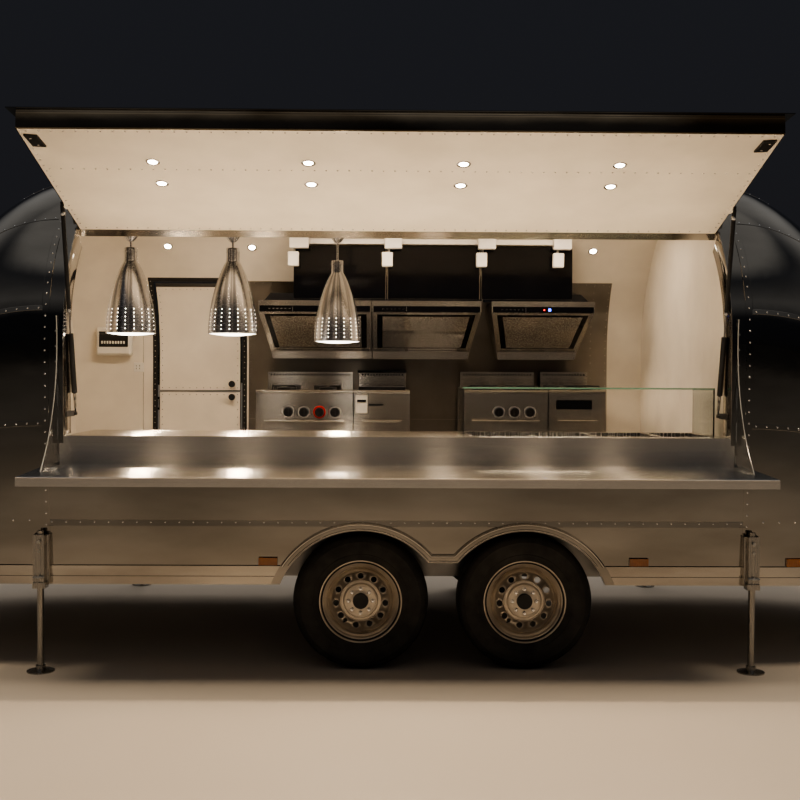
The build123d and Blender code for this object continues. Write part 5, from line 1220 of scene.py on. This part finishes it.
def lamp(name, location, power, colour, aim, size, body=None):
    """A light that points at its aim: a panel with its two sides, or a spot with its angle, blend and
    radius. Only spots show in reflections."""
    spot = len(size) == 3
    light = bpy.data.lights.new(name, "SPOT" if spot else "AREA")
    light.energy, light.color = power, colour
    if spot:
        angle, light.spot_blend, light.shadow_soft_size = size
        light.spot_size = math.radians(angle)
    else:
        light.shape = "RECTANGLE"
        light.size, light.size_y = size
    made = bpy.data.objects.new(name, light)
    made.location = Vector(location) + MID
    made.rotation_mode = "QUATERNION"
    made.rotation_quaternion = (Vector(aim) - Vector(location)).to_track_quat("-Z", "Y")
    made.visible_glossy = spot
    bpy.context.scene.collection.objects.link(made)
    if body:
        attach(made, body)


SPREAD = 200.0
floor_mesh = bpy.data.meshes.new("studio_floor")
floor_corners = [(x * SPREAD, y * SPREAD, 0) for x, y in ((-1, -1), (1, -1), (1, 1), (-1, 1))]
floor_mesh.from_pydata(floor_corners, [], [(0, 1, 2, 3)])
floor_mesh.materials.append(surface("studio_floor", (0.55, 0.49, 0.42), 0.0, 0.7,
                                    ((0.4,), (0.52, 0.46, 0.39), (0.57, 0.51, 0.44))))
floor = bpy.data.objects.new("studio_floor", floor_mesh)
bpy.context.scene.collection.objects.link(floor)

world = bpy.data.worlds.new("studio")
bpy.context.scene.world = world
world.use_nodes = True
background = world.node_tree.nodes["Background"]
background.inputs["Strength"].default_value = 1.0
split = node(world, "ShaderNodeSeparateXYZ")
link(world, node(world, "ShaderNodeTexCoord").outputs["Generated"], split.inputs["Vector"])
ramp = node(world, "ShaderNodeValToRGB")
stops = ramp.color_ramp.elements
stops[0].color, stops[1].color = (0.018, 0.017, 0.016, 1), (0.022, 0.024, 0.03, 1)
for position, colour in ((0.12, (0.018, 0.018, 0.021, 1)), (0.36, (0.019, 0.02, 0.024, 1)),
                         (0.55, (0.17, 0.165, 0.16, 1)), (0.75, (0.06, 0.062, 0.07, 1))):
    stops.new(position).color = colour
link(world, split.outputs["Z"], ramp.inputs["Fac"])


def rise(axis, low, high):
    """0 to 1 as the direction's component climbs from low to high."""
    climb = node(world, "ShaderNodeMapRange", interpolation_type="SMOOTHSTEP", From_Min=low, From_Max=high)
    link(world, split.outputs[axis], climb.inputs["Value"])
    return climb.outputs["Result"]


def joined(operation, first, second):
    made = node(world, "ShaderNodeMath", operation=operation)
    link(world, first, made.inputs[0])
    link(world, second, made.inputs[1])
    return made.outputs["Value"]


# A soft dome at the zenith and high behind the trailer, for the roof and the door side
behind = joined("MULTIPLY", rise("Y", 0.1, 0.6), rise("Z", 0.36, 0.62))
dome = node(world, "ShaderNodeMix", data_type="RGBA")
dome.inputs["B"].default_value = (0.34, 0.33, 0.315, 1)
link(world, joined("MAXIMUM", behind, rise("Z", 0.74, 0.88)), dome.inputs["Factor"])
link(world, ramp.outputs["Color"], dome.inputs["A"])
link(world, dome.outputs["Result"], background.inputs["Color"])

WARM = (1.0, 0.78, 0.55)
lamp("key", (0.0, -3.2, 8.0), 560, (1, 0.83, 0.63), (0, -3.4, 0.0), (8.0, 2.0))
lamp("back", (0.0, 7.0, 6.0), 240, (1, 0.93, 0.85), (0, 1.2, 1.6), (7.0, 3.0))
for number, (x, y, z, _) in enumerate(LAMP_SPOTS):
    lamp(f"heat_lamp_{number}", (x, y, z - 0.03), 70, WARM, (x, y, 0), (130, 0.6, 0.06))
for number, x in enumerate((-1.2, -0.1, 1.0)):
    lamp(f"ceiling_{number}", (x, 0.1, 2.6), 14, (1.0, 0.82, 0.64), (x, 0.25, 0), (0.8, 0.3))
lamp("counter_bounce", (0, -1.45, 1.35), 26, WARM, (0, -1.5, 2.5), (3.2, 0.5), "hatch")
for number, x in enumerate((-1.53, -0.97, -0.34, 0.29, 0.92, 1.43)):
    start = on_liner(x, 0.42, 0.03)
    lamp(f"hatch_{number}", start, 26, WARM, start + LINER_DOWN, (120, 0.8, 0.035), "hatch")
for number, (x0, x1, *_) in enumerate(HOODS):
    x = (x0 + x1) / 2
    lamp(f"hood_{number}", (x, 0.88, HOOD_FOOT_Z - 0.03), 5, WARM, (x, 0.8, 0), (0.5, 0.15))

bpy.context.scene.view_settings.look = "AgX - Medium High Contrast"

# Camera, fitted to the photograph
CAMERA_AT = Vector((-0.0659, -7.1453, 1.5751))
CAMERA_YAW = math.radians(0.715)
CAMERA_PITCH = math.radians(-1.263)
CAMERA_ROLL = math.radians(0.295)
FOCAL_SHARE = 1119.9 / 800
turn = (Matrix.Rotation(-CAMERA_YAW, 4, "Z") @ Matrix.Rotation(math.pi / 2 + CAMERA_PITCH, 4, "X")
        @ Matrix.Rotation(CAMERA_ROLL, 4, "Z"))
camera_data = bpy.data.cameras.new("camera")
camera_data.sensor_fit = "HORIZONTAL"
camera_data.lens = camera_data.sensor_width * FOCAL_SHARE
camera = bpy.data.objects.new("camera", camera_data)
camera.matrix_world = Matrix.Translation(CAMERA_AT + MID) @ turn
bpy.context.scene.collection.objects.link(camera)
bpy.context.scene.camera = camera

bpy.context.view_layer.update()
